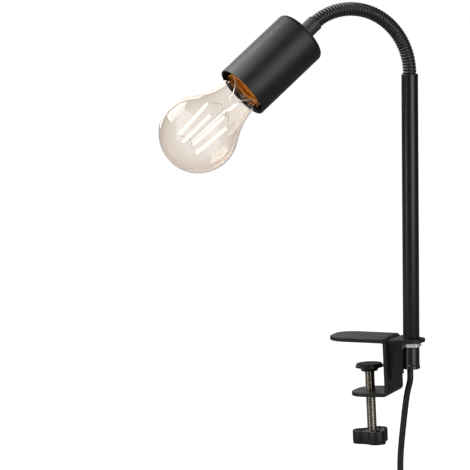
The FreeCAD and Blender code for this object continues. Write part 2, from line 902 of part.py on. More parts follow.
node(
    group(
        "terminals",
        *[
            rod(
                f"terminal_screw_{side}",
                "terminal_diameter",
                "terminal_length - seat_gap",
                x=f"{side} * terminal_spacing / 2",
                z=f"{FLOOR_LOW} - terminal_length + holder_floor / 2",
            )
            for side in (-1, 1)
        ],
    ),
    "terminal_screws",
    head,
)
node(
    ring(
        "screw_shell",
        "shell_bore / 2 + shell_wall",
        "shell_bore / 2",
        f"{HOLDER_MOUTH} - shell_recess - shell_length",
        f"{HOLDER_MOUTH} - shell_recess",
    ),
    "holder_shell",
    head,
)
CONTACT_TOP = f"{FLOOR_TOP} + contact_sheet"
node(
    turned(
        "middle_contact",
        (
            ("0", FLOOR_TOP),
            ("contact_diameter / 2", FLOOR_TOP),
            ("contact_diameter / 2", CONTACT_TOP),
            ("0", CONTACT_TOP),
        ),
    ),
    "centre_contact",
    head,
)

# ---------------------------------------------------------------- filament bulb
# A60 outline: a ball, a hollow flare that touches it, and a short straight neck.

node(
    turned(
        "tip",
        (
            ("0", TIP_LOW),
            ("tip_diameter / 2 - tip_slope", TIP_LOW),
            ("tip_diameter / 2", f"{TIP_LOW} + tip_height"),
            ("0", f"{TIP_LOW} + tip_height"),
        ),
    ),
    "bulb_tip_contact",
    head,
)
node(
    turned(
        "insulator",
        (
            ("0", f"{TIP_LOW} + tip_height + seat_gap"),
            ("tip_diameter / 2", f"{TIP_LOW} + tip_height + seat_gap"),
            ("cap_diameter / 2 - cap_shoulder - cap_wall", f"{TIP_LOW} + cap_start - seat_gap"),
            ("0", f"{TIP_LOW} + cap_start - seat_gap"),
        ),
    ),
    "bulb_insulator",
    head,
)
COLLAR_LOW = f"({TIP_LOW} + cap_length - cap_collar_length)"
node(
    turned(
        "cap",
        (
            ("cap_diameter / 2 - cap_shoulder - 3 * cap_wall", f"{TIP_LOW} + cap_start"),
            ("cap_diameter / 2 - cap_shoulder", f"{TIP_LOW} + cap_start"),
            ("cap_diameter / 2", f"{TIP_LOW} + cap_start + cap_shoulder"),
            ("cap_diameter / 2", f"{COLLAR_LOW} - cap_wall"),
            ("cap_collar / 2", COLLAR_LOW),
            ("cap_collar / 2", f"{TIP_LOW} + cap_length"),
            ("bulb_neck / 2 + seat_gap", f"{TIP_LOW} + cap_length"),
            ("bulb_neck / 2 + seat_gap", f"{COLLAR_LOW} + cap_wall"),
            ("cap_diameter / 2 - cap_wall", f"{COLLAR_LOW} - cap_wall / 2"),
            ("cap_diameter / 2 - cap_wall", f"{TIP_LOW} + cap_start + cap_shoulder + cap_wall / 2"),
        ),
    ),
    "bulb_cap",
    head,
)

ball_r = size("bulb_diameter") / 2
neck_r = size("bulb_neck") / 2
wall = size("bulb_glass")
holder_mouth = size("ferrule_length") + size("cup_length") - size("holder_recess")
tip_z = holder_mouth - size("cap_seat")
ball_z = tip_z + size("bulb_length") - ball_r
flare_z = tip_z + size("bulb_flare_start")
glass_low = tip_z + size("cap_length") - size("cap_collar_length") + wall
rise = ball_z - flare_z
flare_r = (rise**2 + neck_r**2 - ball_r**2) / (2 * (ball_r - neck_r))
flare_centre = Vector(neck_r + flare_r, 0, flare_z)
ball_centre = Vector(0, 0, ball_z)
across = flare_centre - ball_centre
meet = math.degrees(math.atan2(across.z, across.x))


def glass_wire(inset):
    """Half of the bulb's outline, moved inwards by the inset, from its top to its neck."""
    round_part = arc_points(ball_centre, ball_r - inset, 90, meet)
    flare_part = arc_points(flare_centre, flare_r + inset, meet + 180, 180)
    low = Vector(neck_r - inset, 0, glass_low)
    return [
        Part.Arc(*round_part).toShape(),
        Part.Arc(*flare_part).toShape(),
        Part.LineSegment(flare_part[2], low).toShape(),
    ], round_part[0], low


outside, outer_top, outer_low = glass_wire(0.0)
inside, inner_top, inner_low = glass_wire(wall)
closing = [
    Part.LineSegment(outer_low, inner_low).toShape(),
    Part.LineSegment(inner_top, outer_top).toShape(),
]
half_section = Part.Wire(Part.__sortEdges__(outside + inside + closing))
glass = doc.addObject("Part::Feature", "glass")
glass.Shape = Part.Face(half_section).revolve(Vector(), Vector(0, 0, 1), 360)
node(glass, "bulb_glass", head)

STEM_LOW = f"({TIP_LOW} + cap_length - stem_root)"
node(
    turned(
        "stem",
        (
            ("0", STEM_LOW),
            ("bulb_neck / 2 - bulb_glass - stem_gap", STEM_LOW),
            ("stem_diameter / 2 + stem_flare_step", f"{STEM_LOW} + stem_flare"),
            ("stem_diameter / 2", f"{STEM_LOW} + stem_press"),
            ("stem_rod_root / 2", f"{STEM_LOW} + stem_rod_start"),
            ("stem_rod_tip / 2", f"{TIP_LOW} + stem_top"),
            ("0", f"{TIP_LOW} + stem_top"),
        ),
    ),
    "bulb_stem",
    head,
)
FILAMENTS = 4
stem_end = tip_z + size("stem_top")
strands = []
leads = []
filament_low = tip_z + size("filament_middle") - size("filament_length") / 2
filament_high = tip_z + size("filament_middle") + size("filament_length") / 2
low_spread = size("filament_root_spread")
high_spread = size("filament_spread")
lead_r = size("lead_diameter") / 2
for number in range(FILAMENTS):
    angle = 2 * math.pi * number / FILAMENTS + math.pi / FILAMENTS
    out = Vector(math.cos(angle), math.sin(angle), 0)
    start = out * low_spread + Vector(0, 0, filament_low)
    end = out * high_spread + Vector(0, 0, filament_high)
    strands.append(
        Part.makeCylinder(
            size("filament_diameter") / 2, (end - start).Length, start, end - start
        )
    )
    foot_point = out * size("lead_foot_spread")
    foot_point.z = tip_z + size("cap_length") + size("lead_foot")
    far = foot_point - start
    gap = size("stem_gap") + lead_r
    lead_start = start + far * (gap / far.Length)
    leads.append(Part.makeCylinder(lead_r, far.Length - gap, lead_start, far))
    # a wire from the rod's end carries the strip's far end
    hook_root = out * (size("stem_rod_root") / 2 + size("stem_gap"))
    hook_root.z = stem_end - size("filament_diameter")
    hook_end = end - out * (size("filament_diameter") / 2 + size("stem_gap"))
    hook_end.z = end.z - size("filament_diameter")
    hook = hook_end - hook_root
    leads.append(Part.makeCylinder(lead_r, hook.Length, hook_root, hook))
filaments = doc.addObject("Part::Feature", "filaments")
filaments.Shape = Part.makeCompound(strands)
node(filaments, "bulb_filaments", head)
lead_wires = doc.addObject("Part::Feature", "lead_wires")
lead_wires.Shape = Part.makeCompound(leads)
node(lead_wires, "bulb_lead_wires", head)

# ---------------------------------------------------------------- mains lead
# A round lead hangs from the grip, through its switch, into a tied coil, and ends in its plug.

cord_r = size("cord_diameter") / 2
HANGING_ROUTE = (
    Vector(34.6, 0.0, -18.5),
    Vector(34.9, -0.2, -24.5),
    Vector(35.4, -0.4, -30.5),
    Vector(33.1, 0.0, -39.5),
    Vector(31.3, 0.3, -50.5),
    Vector(29.6, 0.2, -65.0),
    Vector(28.0, -0.2, -80.0),
    Vector(26.7, 0.1, -95.0),
    Vector(26.2, 0.0, -109.0),
    Vector(26.2, 0.2, -121.0),
)


def cord_path(route):
    """Straight runs joined by tangent arcs, each as large as its two runs allow."""
    edges = []
    reached = route[0]
    radii = []
    for before, corner, after in zip(route, route[1:], route[2:]):
        into = corner - before
        away = after - corner
        bend = into.getAngle(away)
        reach = 0.45 * min(into.Length, away.Length)
        radii.append(round(reach / math.tan(bend / 2), 1))
        into.normalize()
        away.normalize()
        start = corner - into * reach
        end = corner + away * reach
        inwards = (away - into).normalize()
        depth = reach / math.cos(bend / 2)
        arc_r = reach / math.tan(bend / 2)
        sagitta = math.sqrt(arc_r**2 + reach**2) - arc_r
        middle = corner + inwards * sagitta
        edges.append(Part.LineSegment(reached, start).toShape())
        edges.append(Part.Arc(start, middle, end).toShape())
        reached = end
    edges.append(Part.LineSegment(reached, route[-1]).toShape())
    print("cord radii", radii)
    return Part.Wire(edges)


def cord_tube(name, label, route):
    """A round tube along a route, checked against its section times its length."""
    path = cord_path(route)
    start = route[0]
    section = Part.Wire(Part.makeCircle(cord_r, start, route[1] - start))
    tube = path.makePipeShell([section], True, True)
    expected = math.pi * cord_r**2 * path.Length
    print(label, "length", round(path.Length, 1), "volume ratio", round(tube.Volume / expected, 4))
    item = doc.addObject("Part::Feature", name)
    item.Shape = tube
    node(item, label)


cord_tube("hanging_cord", "lamp_cord", HANGING_ROUTE)
cord_end = HANGING_ROUTE[-1]
lead_x = cord_end.x
lead_y = cord_end.y
coil_r = size("coil_radius")
coil_thick = size("coil_thickness")
coil_z = -size("coil_drop")
lane = size("cord_diameter")
coil_centre = Vector(lead_x - coil_r, lead_y + lane, coil_z)
entry = math.sqrt((coil_r + math.sqrt(coil_thick**2 / 4 - lane**2)) ** 2 - coil_r**2)
entry -= size("coil_press")
switch_low = -size("switch_drop") - size("switch_length")
inside_case = size("switch_wall") + size("cord_hold")
lead = doc.addObject("Part::Cylinder", "lead")
bind(lead, Radius="cord_diameter / 2")
lead.Height = switch_low + inside_case - (coil_z + entry)
node(lead, "cord_lead", Placement(Vector(lead_x, lead_y, coil_z + entry), Rotation()))
coil = doc.addObject("Part::Torus", "coil")
bind(coil, Radius1="coil_radius", Radius2="coil_thickness / 2")
coil_turn = Rotation(Vector(1, 0, 0), 90)
node(coil, "cord_coil", Placement(coil_centre, coil_turn))
tie = ring(
    "tie",
    "coil_thickness / 2 + tie_gap + tie_sheet",
    "coil_thickness / 2 + tie_gap",
    "-tie_width / 2",
    "tie_width / 2",
)
tie_spot = coil_centre + Vector(0, 0, coil_r)
node(tie, "cord_tie", Placement(tie_spot, Rotation(Vector(0, 1, 0), 90)))
plug_top = coil_z - entry - size("plug_tail") - size("plug_boot")
tail_low = plug_top + size("boot_floor") + size("cord_end_gap")
tail = doc.addObject("Part::Cylinder", "tail")
bind(tail, Radius="cord_diameter / 2")
tail.Height = coil_z - entry - tail_low
tail_y = coil_centre.y + lane
node(tail, "cord_tail", Placement(Vector(lead_x, tail_y, tail_low), Rotation()))

# ---------------------------------------------------------------- switch on the lead
# Two moulded halves with the lead through both ends. The rocker turns across the lead.

case_place = Placement(Vector(lead_x, lead_y, switch_low), Rotation())
BORE = "cord_diameter + 2 * cord_gap"
CASE_MIDDLE = "switch_length / 2"
SCREW_X = "case_screw_aside"
SCREW_Z = "switch_length / 2 - case_screw_inset"


def case_blank(name):
    """The case's outside, rounded all round."""
    body = block(name + "_outside", "switch_width", "switch_depth", "switch_length")
    doc.recompute()
    edges = range(1, len(body.Shape.Edges) + 1)
    item = doc.addObject("Part::Fillet", name + "_rounded")
    item.Base = body
    radius = min(size("switch_corner"), size("switch_depth") / 4)
    item.Edges = [(edge, radius, radius) for edge in edges]
    return item


def half_case(name, side):
    """One half of the hollow case, on the side of -Y or +Y, with holes for the lead."""
    outside = case_blank(name)
    keep = block(
        name + "_keep",
        "switch_width * 2",
        "switch_depth",
        "switch_length * 2",
        y=f"{side} * (switch_depth / 2 + seat_gap / 2)",
        z="-switch_length / 2",
    )
    shell = doc.addObject("Part::Common", name + "_shell")
    shell.Base = outside
    shell.Tool = keep
    hollow = block(
        name + "_hollow",
        "switch_width - 2 * switch_wall",
        "switch_depth - 2 * switch_wall",
        "switch_length - 2 * switch_wall",
        z="switch_wall",
    )
    bore = rod(name + "_bore", BORE, "switch_length * 2", z="-switch_length / 2")
    return shell, [hollow, bore]


def across_rod(name, diameter, height, x, y, z):
    """A cylinder along +Y from the given base."""
    item = rod(name, diameter, height, x=x, y=y, z=z)
    item.Placement.Rotation = Rotation(Vector(1, 0, 0), -90)
    return item


corners = [
    (side, f"{side} * ({SCREW_X})", f"{CASE_MIDDLE} + {side} * ({SCREW_Z})") for side in (-1, 1)
]
shell, tools = half_case("cover", -1)
opening = block(
    "rocker_opening",
    "rocker_width + 2 * rocker_play",
    "switch_wall * 4",
    "rocker_length + 2 * rocker_play",
    y="-switch_depth / 2",
    z=f"{CASE_MIDDLE} - rocker_length / 2 - rocker_play",
)
posts = [
    across_rod(
        f"post_{side}",
        "post_diameter",
        "switch_depth / 2 - switch_wall / 2 - seat_gap / 2",
        x,
        "-switch_depth / 2 + switch_wall / 2",
        z,
    )
    for side, x, z in corners
]
POST_FLOOR = "-switch_depth / 2 + switch_wall + seat_gap"
SHANK_HOLE = "case_screw + 2 * seat_gap"
post_holes = [
    across_rod(f"post_hole_{side}", SHANK_HOLE, "switch_depth", x, POST_FLOOR, z)
    for side, x, z in corners
]
hollowed = cut("cover_hollowed", shell, fused("cover_tools", *tools, opening))
whole = fused("cover_with_posts", hollowed, *posts)
node(cut("cover", whole, fused("cover_post_holes", *post_holes)), "switch_cover", case_place)
shell, tools = half_case("base", 1)
HEAD_SEAT = "switch_depth / 2 - switch_wall / 2"
HEAD_HOLE = "post_diameter + 2 * seat_gap"
head_holes = [
    across_rod(f"head_hole_{side}", HEAD_HOLE, "switch_depth", x, HEAD_SEAT, z)
    for side, x, z in corners
]
shank_holes = [
    across_rod(f"shank_hole_{side}", SHANK_HOLE, "switch_depth", x, "0", z)
    for side, x, z in corners
]
node(
    cut("base", shell, fused("base_tools", *tools, *head_holes, *shank_holes)),
    "switch_base",
    case_place,
)
case_screws = [
    fused(
        f"case_screw_{side}",
        across_rod(
            f"screw_head_{side}",
            "post_diameter",
            "switch_wall / 2 - seat_gap",
            x,
            f"{HEAD_SEAT} + seat_gap",
            z,
        ),
        across_rod(
            f"screw_shank_{side}",
            "case_screw",
            f"{HEAD_SEAT} + switch_wall + 2 * seat_gap",
            x,
            "-switch_wall",
            z,
        ),
    )
    for side, x, z in corners
]
node(group("case_screws", *case_screws), "switch_screws", case_place)
drum = rod("rocker_drum", "rocker_length", "rocker_width", x="-rocker_width / 2")
drum.Placement.Rotation = Rotation(Vector(0, 1, 0), 90)
slab = block(
    "rocker_slab",
    "rocker_width",
    "rocker_rise + 2 * switch_wall",
    "rocker_length",
    y="-rocker_rise / 2",
    z="-rocker_length / 2",
)
rocker = doc.addObject("Part::Common", "rocker")
rocker.Base = drum
rocker.Tool = slab
pivot = case_place.multVec(
    Vector(0, -size("switch_depth") / 2 + size("switch_wall"), size("switch_length") / 2)
)
node(
    rocker,
    "switch_rocker",
    Placement(pivot, Rotation(Vector(1, 0, 0), size("rocker_tilt"))),
)
contacts = [
    block(
        f"contact_{side}",
        "contact_width",
        "contact_sheet * 2",
        "switch_length / 3",
        x=f"{side} * contact_width",
        y="switch_depth / 2 - switch_wall - contact_sheet - seat_gap",
        z="switch_length / 3",
    )
    for side in (-1, 1)
]
node(group("contact_pair", *contacts), "switch_contacts", case_place)

# ---------------------------------------------------------------- plug
# A flat two-pin plug moulded on the lead, hanging pins down.

plug_place = Placement(Vector(lead_x, tail_y, plug_top), Rotation())
HALF_PLUG = "plug_width / 2"
plug_body = padded(
    "plug_body",
    "XZ_Plane",
    (
        (f"-{HALF_PLUG}", "-plug_length"),
        (HALF_PLUG, "-plug_length"),
        (HALF_PLUG, "-plug_shoulder"),
        ("plug_crown", "0"),
        ("-plug_crown", "0"),
        (f"-{HALF_PLUG}", "-plug_shoulder"),
    ),
    "plug_depth",
)
boot = doc.addObject("Part::Cone", "plug_boot_cone")
bind(
    boot,
    Radius1="plug_boot_diameter / 2",
    Radius2="cord_diameter / 2 + boot_wall",
    Height="plug_boot + lap",
)
boot.setExpression("Placement.Base.z", bound("-lap"))
cord_hole = rod("plug_cord_hole", BORE, "plug_boot * 2", z="boot_floor")
pin_holes = [
    rod(
        f"pin_hole_{side}",
        "pin_shank + 2 * seat_gap",
        "pin_root * 2",
        x=f"{side} * pin_spacing / 2",
        z="-plug_length - pin_root",
    )
    for side in (-1, 1)
]
plug_holes = fused("plug_holes", cord_hole, *pin_holes)
node(
    cut("plug_moulding", fused("plug_solid", plug_body, boot), plug_holes),
    "plug_body",
    plug_place,
)
pins = [
    fused(
        f"pin_{side}",
        rod(
            f"pin_blade_{side}",
            "pin_diameter",
            "pin_length",
            x=f"{side} * pin_spacing / 2",
            z="-plug_length - pin_length - seat_gap",
        ),
        rod(
            f"pin_shank_{side}",
            "pin_shank",
            "pin_root + lap",
            x=f"{side} * pin_spacing / 2",
            z="-plug_length - lap - seat_gap",
        ),
    )
    for side in (-1, 1)
]
node(group("pin_pair", *pins), "plug_pins", plug_place)

# ---------------------------------------------------------------- checks and files

doc.recompute()
failed = [item.Name for item in doc.Objects if {"Invalid", "Error"} & set(item.State)]
if failed:
    raise RuntimeError(f"not rebuilt: {failed}")
os.makedirs("parts", exist_ok=True)
for item in nodes:
    shape = item.Shape
    if shape.isNull() or not shape.isValid() or not shape.Solids:
        raise RuntimeError(f"{item.Label} has no valid solid")
    shape.exportStep(f"parts/{item.Label}.step")
print(len(nodes), "sub-parts")
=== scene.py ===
import math

import bmesh
import bpy
from mathutils import Matrix, Vector


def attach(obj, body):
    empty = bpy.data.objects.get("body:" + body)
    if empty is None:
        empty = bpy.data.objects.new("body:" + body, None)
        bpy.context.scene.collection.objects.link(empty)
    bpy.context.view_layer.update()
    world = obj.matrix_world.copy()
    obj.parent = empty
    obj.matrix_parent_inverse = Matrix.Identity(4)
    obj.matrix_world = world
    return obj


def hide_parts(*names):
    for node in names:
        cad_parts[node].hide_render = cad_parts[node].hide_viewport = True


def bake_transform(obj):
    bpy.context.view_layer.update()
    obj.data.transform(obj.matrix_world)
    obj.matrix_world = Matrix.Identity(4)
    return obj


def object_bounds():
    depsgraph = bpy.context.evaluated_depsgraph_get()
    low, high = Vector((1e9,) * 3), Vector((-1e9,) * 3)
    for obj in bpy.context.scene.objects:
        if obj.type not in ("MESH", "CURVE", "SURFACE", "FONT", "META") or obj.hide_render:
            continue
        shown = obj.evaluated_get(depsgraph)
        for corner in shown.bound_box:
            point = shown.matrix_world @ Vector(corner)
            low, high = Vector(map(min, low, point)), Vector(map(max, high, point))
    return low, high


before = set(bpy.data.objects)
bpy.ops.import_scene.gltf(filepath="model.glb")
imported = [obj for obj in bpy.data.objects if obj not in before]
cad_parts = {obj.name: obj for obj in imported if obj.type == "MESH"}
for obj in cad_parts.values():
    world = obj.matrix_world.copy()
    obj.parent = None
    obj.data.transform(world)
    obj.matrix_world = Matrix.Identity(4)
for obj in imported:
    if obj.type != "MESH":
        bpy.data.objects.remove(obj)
cad_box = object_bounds()

# ---------------------------------------------------------------- view, lights and floor
# The lamp hangs in a white studio as from a desk's edge, with the floor below its plug. It is seen
# from the front, a little from the right and from just above the clamp. The white floor glows
# a little less near the lamp, so that it keeps a faint shadow.

AZIMUTH = math.radians(20.904)
ELEVATION = math.radians(6.831)
ROLL = math.radians(-0.737)
DISTANCE = 2.4
ASIDE = -0.103693
HEIGHT = 0.083827
SENSOR = 36.0
LENS = 234.63
FLOOR_GAP = 0.002
FLOOR_SPAN = 120.0
PAPER_TONE = (0.18, 0.18, 0.18, 1.0)
PALE_FROM = 0.4
PALE_TO = 1.4
NEAR_GLOW = 0.82
FLOOR_SHINE = 0.08
STUDIO_LEVEL = 0.05

right = Vector((math.cos(AZIMUTH), math.sin(AZIMUTH), 0))
forward = Vector(
    (
        -math.sin(AZIMUTH) * math.cos(ELEVATION),
        math.cos(AZIMUTH) * math.cos(ELEVATION),
        -math.sin(ELEVATION),
    )
)
eye = right * ASIDE + Vector((0, 0, HEIGHT)) - forward * DISTANCE
camera_data = bpy.data.cameras.new("camera")
camera_data.lens = LENS
camera_data.sensor_width = SENSOR
camera_data.clip_end = 2 * FLOOR_SPAN
camera = bpy.data.objects.new("camera", camera_data)
turn = Matrix((right, right.cross(forward), -forward)).transposed().to_4x4()
camera.matrix_world = Matrix.Translation(eye) @ turn @ Matrix.Rotation(ROLL, 4, "Z")
bpy.context.scene.collection.objects.link(camera)
bpy.context.scene.camera = camera
bpy.context.scene.view_settings.view_transform = "Standard"


def seen_white(tree, plain, glossy):
    """A strength that is 1 where the background is seen, also through glass, and less elsewhere."""
    rays = tree.nodes.new("ShaderNodeLightPath")
    seen = tree.nodes.new("ShaderNodeMath")
    seen.operation = "MAXIMUM"
    tree.links.new(rays.outputs["Is Camera Ray"], seen.inputs[0])
    tree.links.new(rays.outputs["Is Transmission Ray"], seen.inputs[1])
    shine = tree.nodes.new("ShaderNodeMath")
    shine.operation = "MULTIPLY"
    shine.inputs[1].default_value = glossy
    tree.links.new(rays.outputs["Is Glossy Ray"], shine.inputs[0])
    most = tree.nodes.new("ShaderNodeMath")
    most.operation = "MAXIMUM"
    tree.links.new(seen.outputs[0], most.inputs[0])
    tree.links.new(shine.outputs[0], most.inputs[1])
    last = tree.nodes.new("ShaderNodeMath")
    last.operation = "MAXIMUM"
    last.inputs[1].default_value = plain
    tree.links.new(most.outputs[0], last.inputs[0])
    return last.outputs[0]


world = bpy.data.worlds.new("studio")
bpy.context.scene.world = world
world.use_nodes = True
background = world.node_tree.nodes["Background"]
background.inputs["Color"].default_value = (1, 1, 1, 1)
world.node_tree.links.new(
    seen_white(world.node_tree, STUDIO_LEVEL, STUDIO_LEVEL), background.inputs["Strength"]
)

floor_mesh = bpy.data.meshes.new("floor")
bm = bmesh.new()
bmesh.ops.create_grid(
    bm,
    x_segments=1,
    y_segments=1,
    size=FLOOR_SPAN / 2,
    matrix=Matrix.Translation((0, 0, cad_box[0].z - FLOOR_GAP)),
)
bm.to_mesh(floor_mesh)
bm.free()
floor = bpy.data.objects.new("floor", floor_mesh)
bpy.context.scene.collection.objects.link(floor)
paper = bpy.data.materials.new("white_paper")
paper.use_nodes = True
tree = paper.node_tree
paper_shader = tree.nodes["Principled BSDF"]
paper_shader.inputs["Base Color"].default_value = PAPER_TONE
paper_shader.inputs["Roughness"].default_value = 1.0
paper_shader.inputs["Specular IOR Level"].default_value = 0.0
glow = tree.nodes.new("ShaderNodeEmission")
far_off = tree.nodes.new("ShaderNodeVectorMath")
far_off.operation = "LENGTH"
tree.links.new(tree.nodes.new("ShaderNodeTexCoord").outputs["Object"], far_off.inputs[0])
paling = tree.nodes.new("ShaderNodeMapRange")
paling.interpolation_type = "SMOOTHSTEP"
paling.inputs["From Min"].default_value = PALE_FROM
paling.inputs["From Max"].default_value = PALE_TO
paling.inputs["To Min"].default_value = NEAR_GLOW
paling.inputs["To Max"].default_value = 1.0
tree.links.new(far_off.outputs["Value"], paling.inputs["Value"])
glow_level = tree.nodes.new("ShaderNodeMath")
glow_level.operation = "MULTIPLY"
tree.links.new(seen_white(tree, 0.0, FLOOR_SHINE), glow_level.inputs[0])
tree.links.new(paling.outputs["Result"], glow_level.inputs[1])
tree.links.new(glow_level.outputs[0], glow.inputs["Strength"])
both = tree.nodes.new("ShaderNodeAddShader")
tree.links.new(paper_shader.outputs[0], both.inputs[0])
tree.links.new(glow.outputs[0], both.inputs[1])
tree.links.new(both.outputs[0], tree.nodes["Material Output"].inputs["Surface"])
floor_mesh.materials.append(paper)

LIT = Vector((0.0, 0.0, 0.1))
for name, place, width, height, power in (
    ("key_softbox", (-0.94, -1.24, 1.51), 1.4, 1.4, 27.0),
    ("top_softbox", (-1.57, -0.03, 1.50), 1.4, 1.4, 40.0),
    ("back_softbox", (-1.40, 1.70, 0.75), 1.6, 1.2, 9.0),
    ("rear_softbox", (1.30, 1.60, 1.50), 1.2, 1.2, 5.0),
    ("right_softbox", (1.66, -1.12, 0.3), 1.4, 1.9, 26.0),
    ("left_strip", (-1.26, -1.55, 0.3), 0.5, 1.9, 11.0),
):
    lamp = bpy.data.lights.new(name, "AREA")
    lamp.shape = "RECTANGLE"
    lamp.size = width
    lamp.size_y = height
    lamp.energy = power
    holder = bpy.data.objects.new(name, lamp)
    holder.location = place
    holder.rotation_euler = (LIT - Vector(place)).to_track_quat("-Z", "Y").to_euler()
    bpy.context.scene.collection.objects.link(holder)

# ---------------------------------------------------------------- desk clamp
# One strip of 3 mm steel bent twice into a C, with round ends and a tapped hole in its lower jaw.
# It is powder-coated satin black. The back and the lower jaw lean a little outwards.

SHEET = 0.003
CLAMP_WIDTH = 0.039
JAW_DEPTH = 0.018
JAW_HEIGHT = 0.040
UPPER_REACH = 0.0293
LOWER_REACH = 0.0312
SPLAY = math.radians(2.2)
INNER_BEND = 0.001
UPPER_CORNER = 0.015
LOWER_CORNER = 0.0149
SCREW_RADIUS = 0.0038
HOLE_PLAY = 0.00005
EDGE_BREAK = 0.0003
CREASE = math.radians(40)
lean = Matrix.Rotation(-SPLAY, 4, "Y")


def make_finish(name, colour, rough, metallic=0.0, specular=0.5, mottle=(60, 0.15), grain=(0, 0)):
    """A painted, moulded or plated surface: its colour and gloss vary a little over a grain."""
    material = bpy.data.materials.new(name)
    material.use_nodes = True
    tree = material.node_tree
    shader = tree.nodes["Principled BSDF"]
    shader.inputs["Metallic"].default_value = metallic
    shader.inputs["Specular IOR Level"].default_value = specular
    place = tree.nodes.new("ShaderNodeTexCoord").outputs["Object"]
    cloud = tree.nodes.new("ShaderNodeTexNoise")
    cloud.inputs["Scale"].default_value = mottle[0]
    cloud.inputs["Detail"].default_value = 4.0
    tree.links.new(place, cloud.inputs["Vector"])
    ramp = tree.nodes.new("ShaderNodeValToRGB")
    ramp.color_ramp.elements[0].position = 0.3
    ramp.color_ramp.elements[1].position = 0.7
    ramp.color_ramp.elements[0].color = (*(c * (1 - mottle[1]) for c in colour), 1)
    ramp.color_ramp.elements[1].color = (*(c * (1 + mottle[1]) for c in colour), 1)
    tree.links.new(cloud.outputs["Fac"], ramp.inputs["Fac"])
    tree.links.new(ramp.outputs["Color"], shader.inputs["Base Color"])
    spread = tree.nodes.new("ShaderNodeMapRange")
    spread.inputs["To Min"].default_value = rough * 0.88
    spread.inputs["To Max"].default_value = min(rough * 1.12, 1.0)
    tree.links.new(cloud.outputs["Fac"], spread.inputs["Value"])
    tree.links.new(spread.outputs["Result"], shader.inputs["Roughness"])
    if grain[0]:
        pores = tree.nodes.new("ShaderNodeTexNoise")
        pores.inputs["Scale"].default_value = grain[0]
        pores.inputs["Detail"].default_value = 2.0
        tree.links.new(place, pores.inputs["Vector"])
        bump = tree.nodes.new("ShaderNodeBump")
        bump.inputs["Distance"].default_value = grain[1]
        tree.links.new(pores.outputs["Fac"], bump.inputs["Height"])
        tree.links.new(bump.outputs["Normal"], shader.inputs["Normal"])
    return material


def add_piece(name, bm, body, slot, material, *nodes, flat=False):
    """Puts a finished mesh in the scene in place of its CAD nodes, on its body; given two bodies,
    it stays where it is made.
    """
    mesh = bpy.data.meshes.new(name)
    bm.to_mesh(mesh)
    bm.free()
    mesh.shade_smooth()
    mesh.set_sharp_from_angle(angle=CREASE)
    mesh.materials.append(material)
    piece = bpy.data.objects.new(name, mesh)
    bpy.context.scene.collection.objects.link(piece)
    if flat:
        weigh = piece.modifiers.new("weighted_normals", "WEIGHTED_NORMAL")
        weigh.keep_sharp = True
    if isinstance(body, str):
        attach(piece, body)
    else:
        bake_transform(piece)
    if nodes:
        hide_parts(*nodes)
    return piece


def draw_out(bm, faces, along):
    """Draws flat faces out by a vector into a solid."""
    drawn = bmesh.ops.extrude_face_region(bm, geom=faces)
    moved = [item for item in drawn["geom"] if isinstance(item, bmesh.types.BMVert)]
    bmesh.ops.translate(bm, verts=moved, vec=along)
    bmesh.ops.recalc_face_normals(bm, faces=bm.faces)


def extruded(corners, along, shift):
    """A flat outline, drawn out by a vector from its first place."""
    bm = bmesh.new()
    face = bm.faces.new([bm.verts.new(Vector(corner) + shift) for corner in corners])
    draw_out(bm, [face], along)
    return bm


def round_edges(bm, radius, segments, chosen):
    """Rounds the edges that a test picks."""
    bmesh.ops.bevel(
        bm,
        geom=[edge for edge in bm.edges if chosen(edge)],
        offset=radius,
        offset_type="OFFSET",
        segments=segments,
        profile=0.5,
        affect="EDGES",
        clamp_overlap=True,
        material=-1,
    )
    bmesh.ops.remove_doubles(bm, verts=bm.verts, dist=1e-7)


def sharp(angle):
    """A test for edges whose two faces meet at more than an angle."""
    limit = math.radians(angle)
    return lambda edge: len(edge.link_faces) == 2 and edge.calc_face_angle(0.0) > limit


def lies_at(x, z):
    """A test for edges that run across the sheet through a point of its side view."""
    return lambda edge: all(
        abs(vert.co.x - x) < 1e-5 and abs(vert.co.z - z) < 1e-5 for vert in edge.verts
    )


def ends_at(tip, side):
    """A test for the short edge at a corner of the strip's end, on one side."""
    return lambda edge: all(
        abs(vert.co.x - tip.x) < 1e-3
        and abs(vert.co.z - tip.z) < 1.5 * SHEET
        and vert.co.y * side > CLAMP_WIDTH / 3
        for vert in edge.verts
    ) and abs(edge.verts[0].co.y - edge.verts[1].co.y) < 1e-6


outer_back = (JAW_DEPTH + SHEET - SHEET * math.sin(SPLAY)) / math.cos(SPLAY)
side_view = [
    Vector((-UPPER_REACH, 0, 0)),
    Vector((JAW_DEPTH / math.cos(SPLAY), 0, 0)),
    lean @ Vector((JAW_DEPTH, 0, -JAW_HEIGHT)),
    lean @ Vector((JAW_DEPTH - LOWER_REACH, 0, -JAW_HEIGHT)),
    lean @ Vector((JAW_DEPTH - LOWER_REACH, 0, -JAW_HEIGHT - SHEET)),
    lean @ Vector((JAW_DEPTH + SHEET, 0, -JAW_HEIGHT - SHEET)),
    Vector((outer_back, 0, SHEET)),
    Vector((-UPPER_REACH, 0, SHEET)),
]
bm = extruded(side_view, Vector((0, CLAMP_WIDTH, 0)), Vector((0, -CLAMP_WIDTH / 2, 0)))
for corner in (1, 2):
    spot = side_view[corner]
    round_edges(bm, INNER_BEND, 4, lies_at(spot.x, spot.z))
for corner in (5, 6):
    spot = side_view[corner]
    round_edges(bm, INNER_BEND + SHEET, 10, lies_at(spot.x, spot.z))
for side in (-1, 1):
    round_edges(bm, UPPER_CORNER, 20, ends_at(side_view[0], side))
    round_edges(bm, LOWER_CORNER, 24, ends_at(side_view[3], side))
round_edges(bm, EDGE_BREAK, 2, sharp(50))

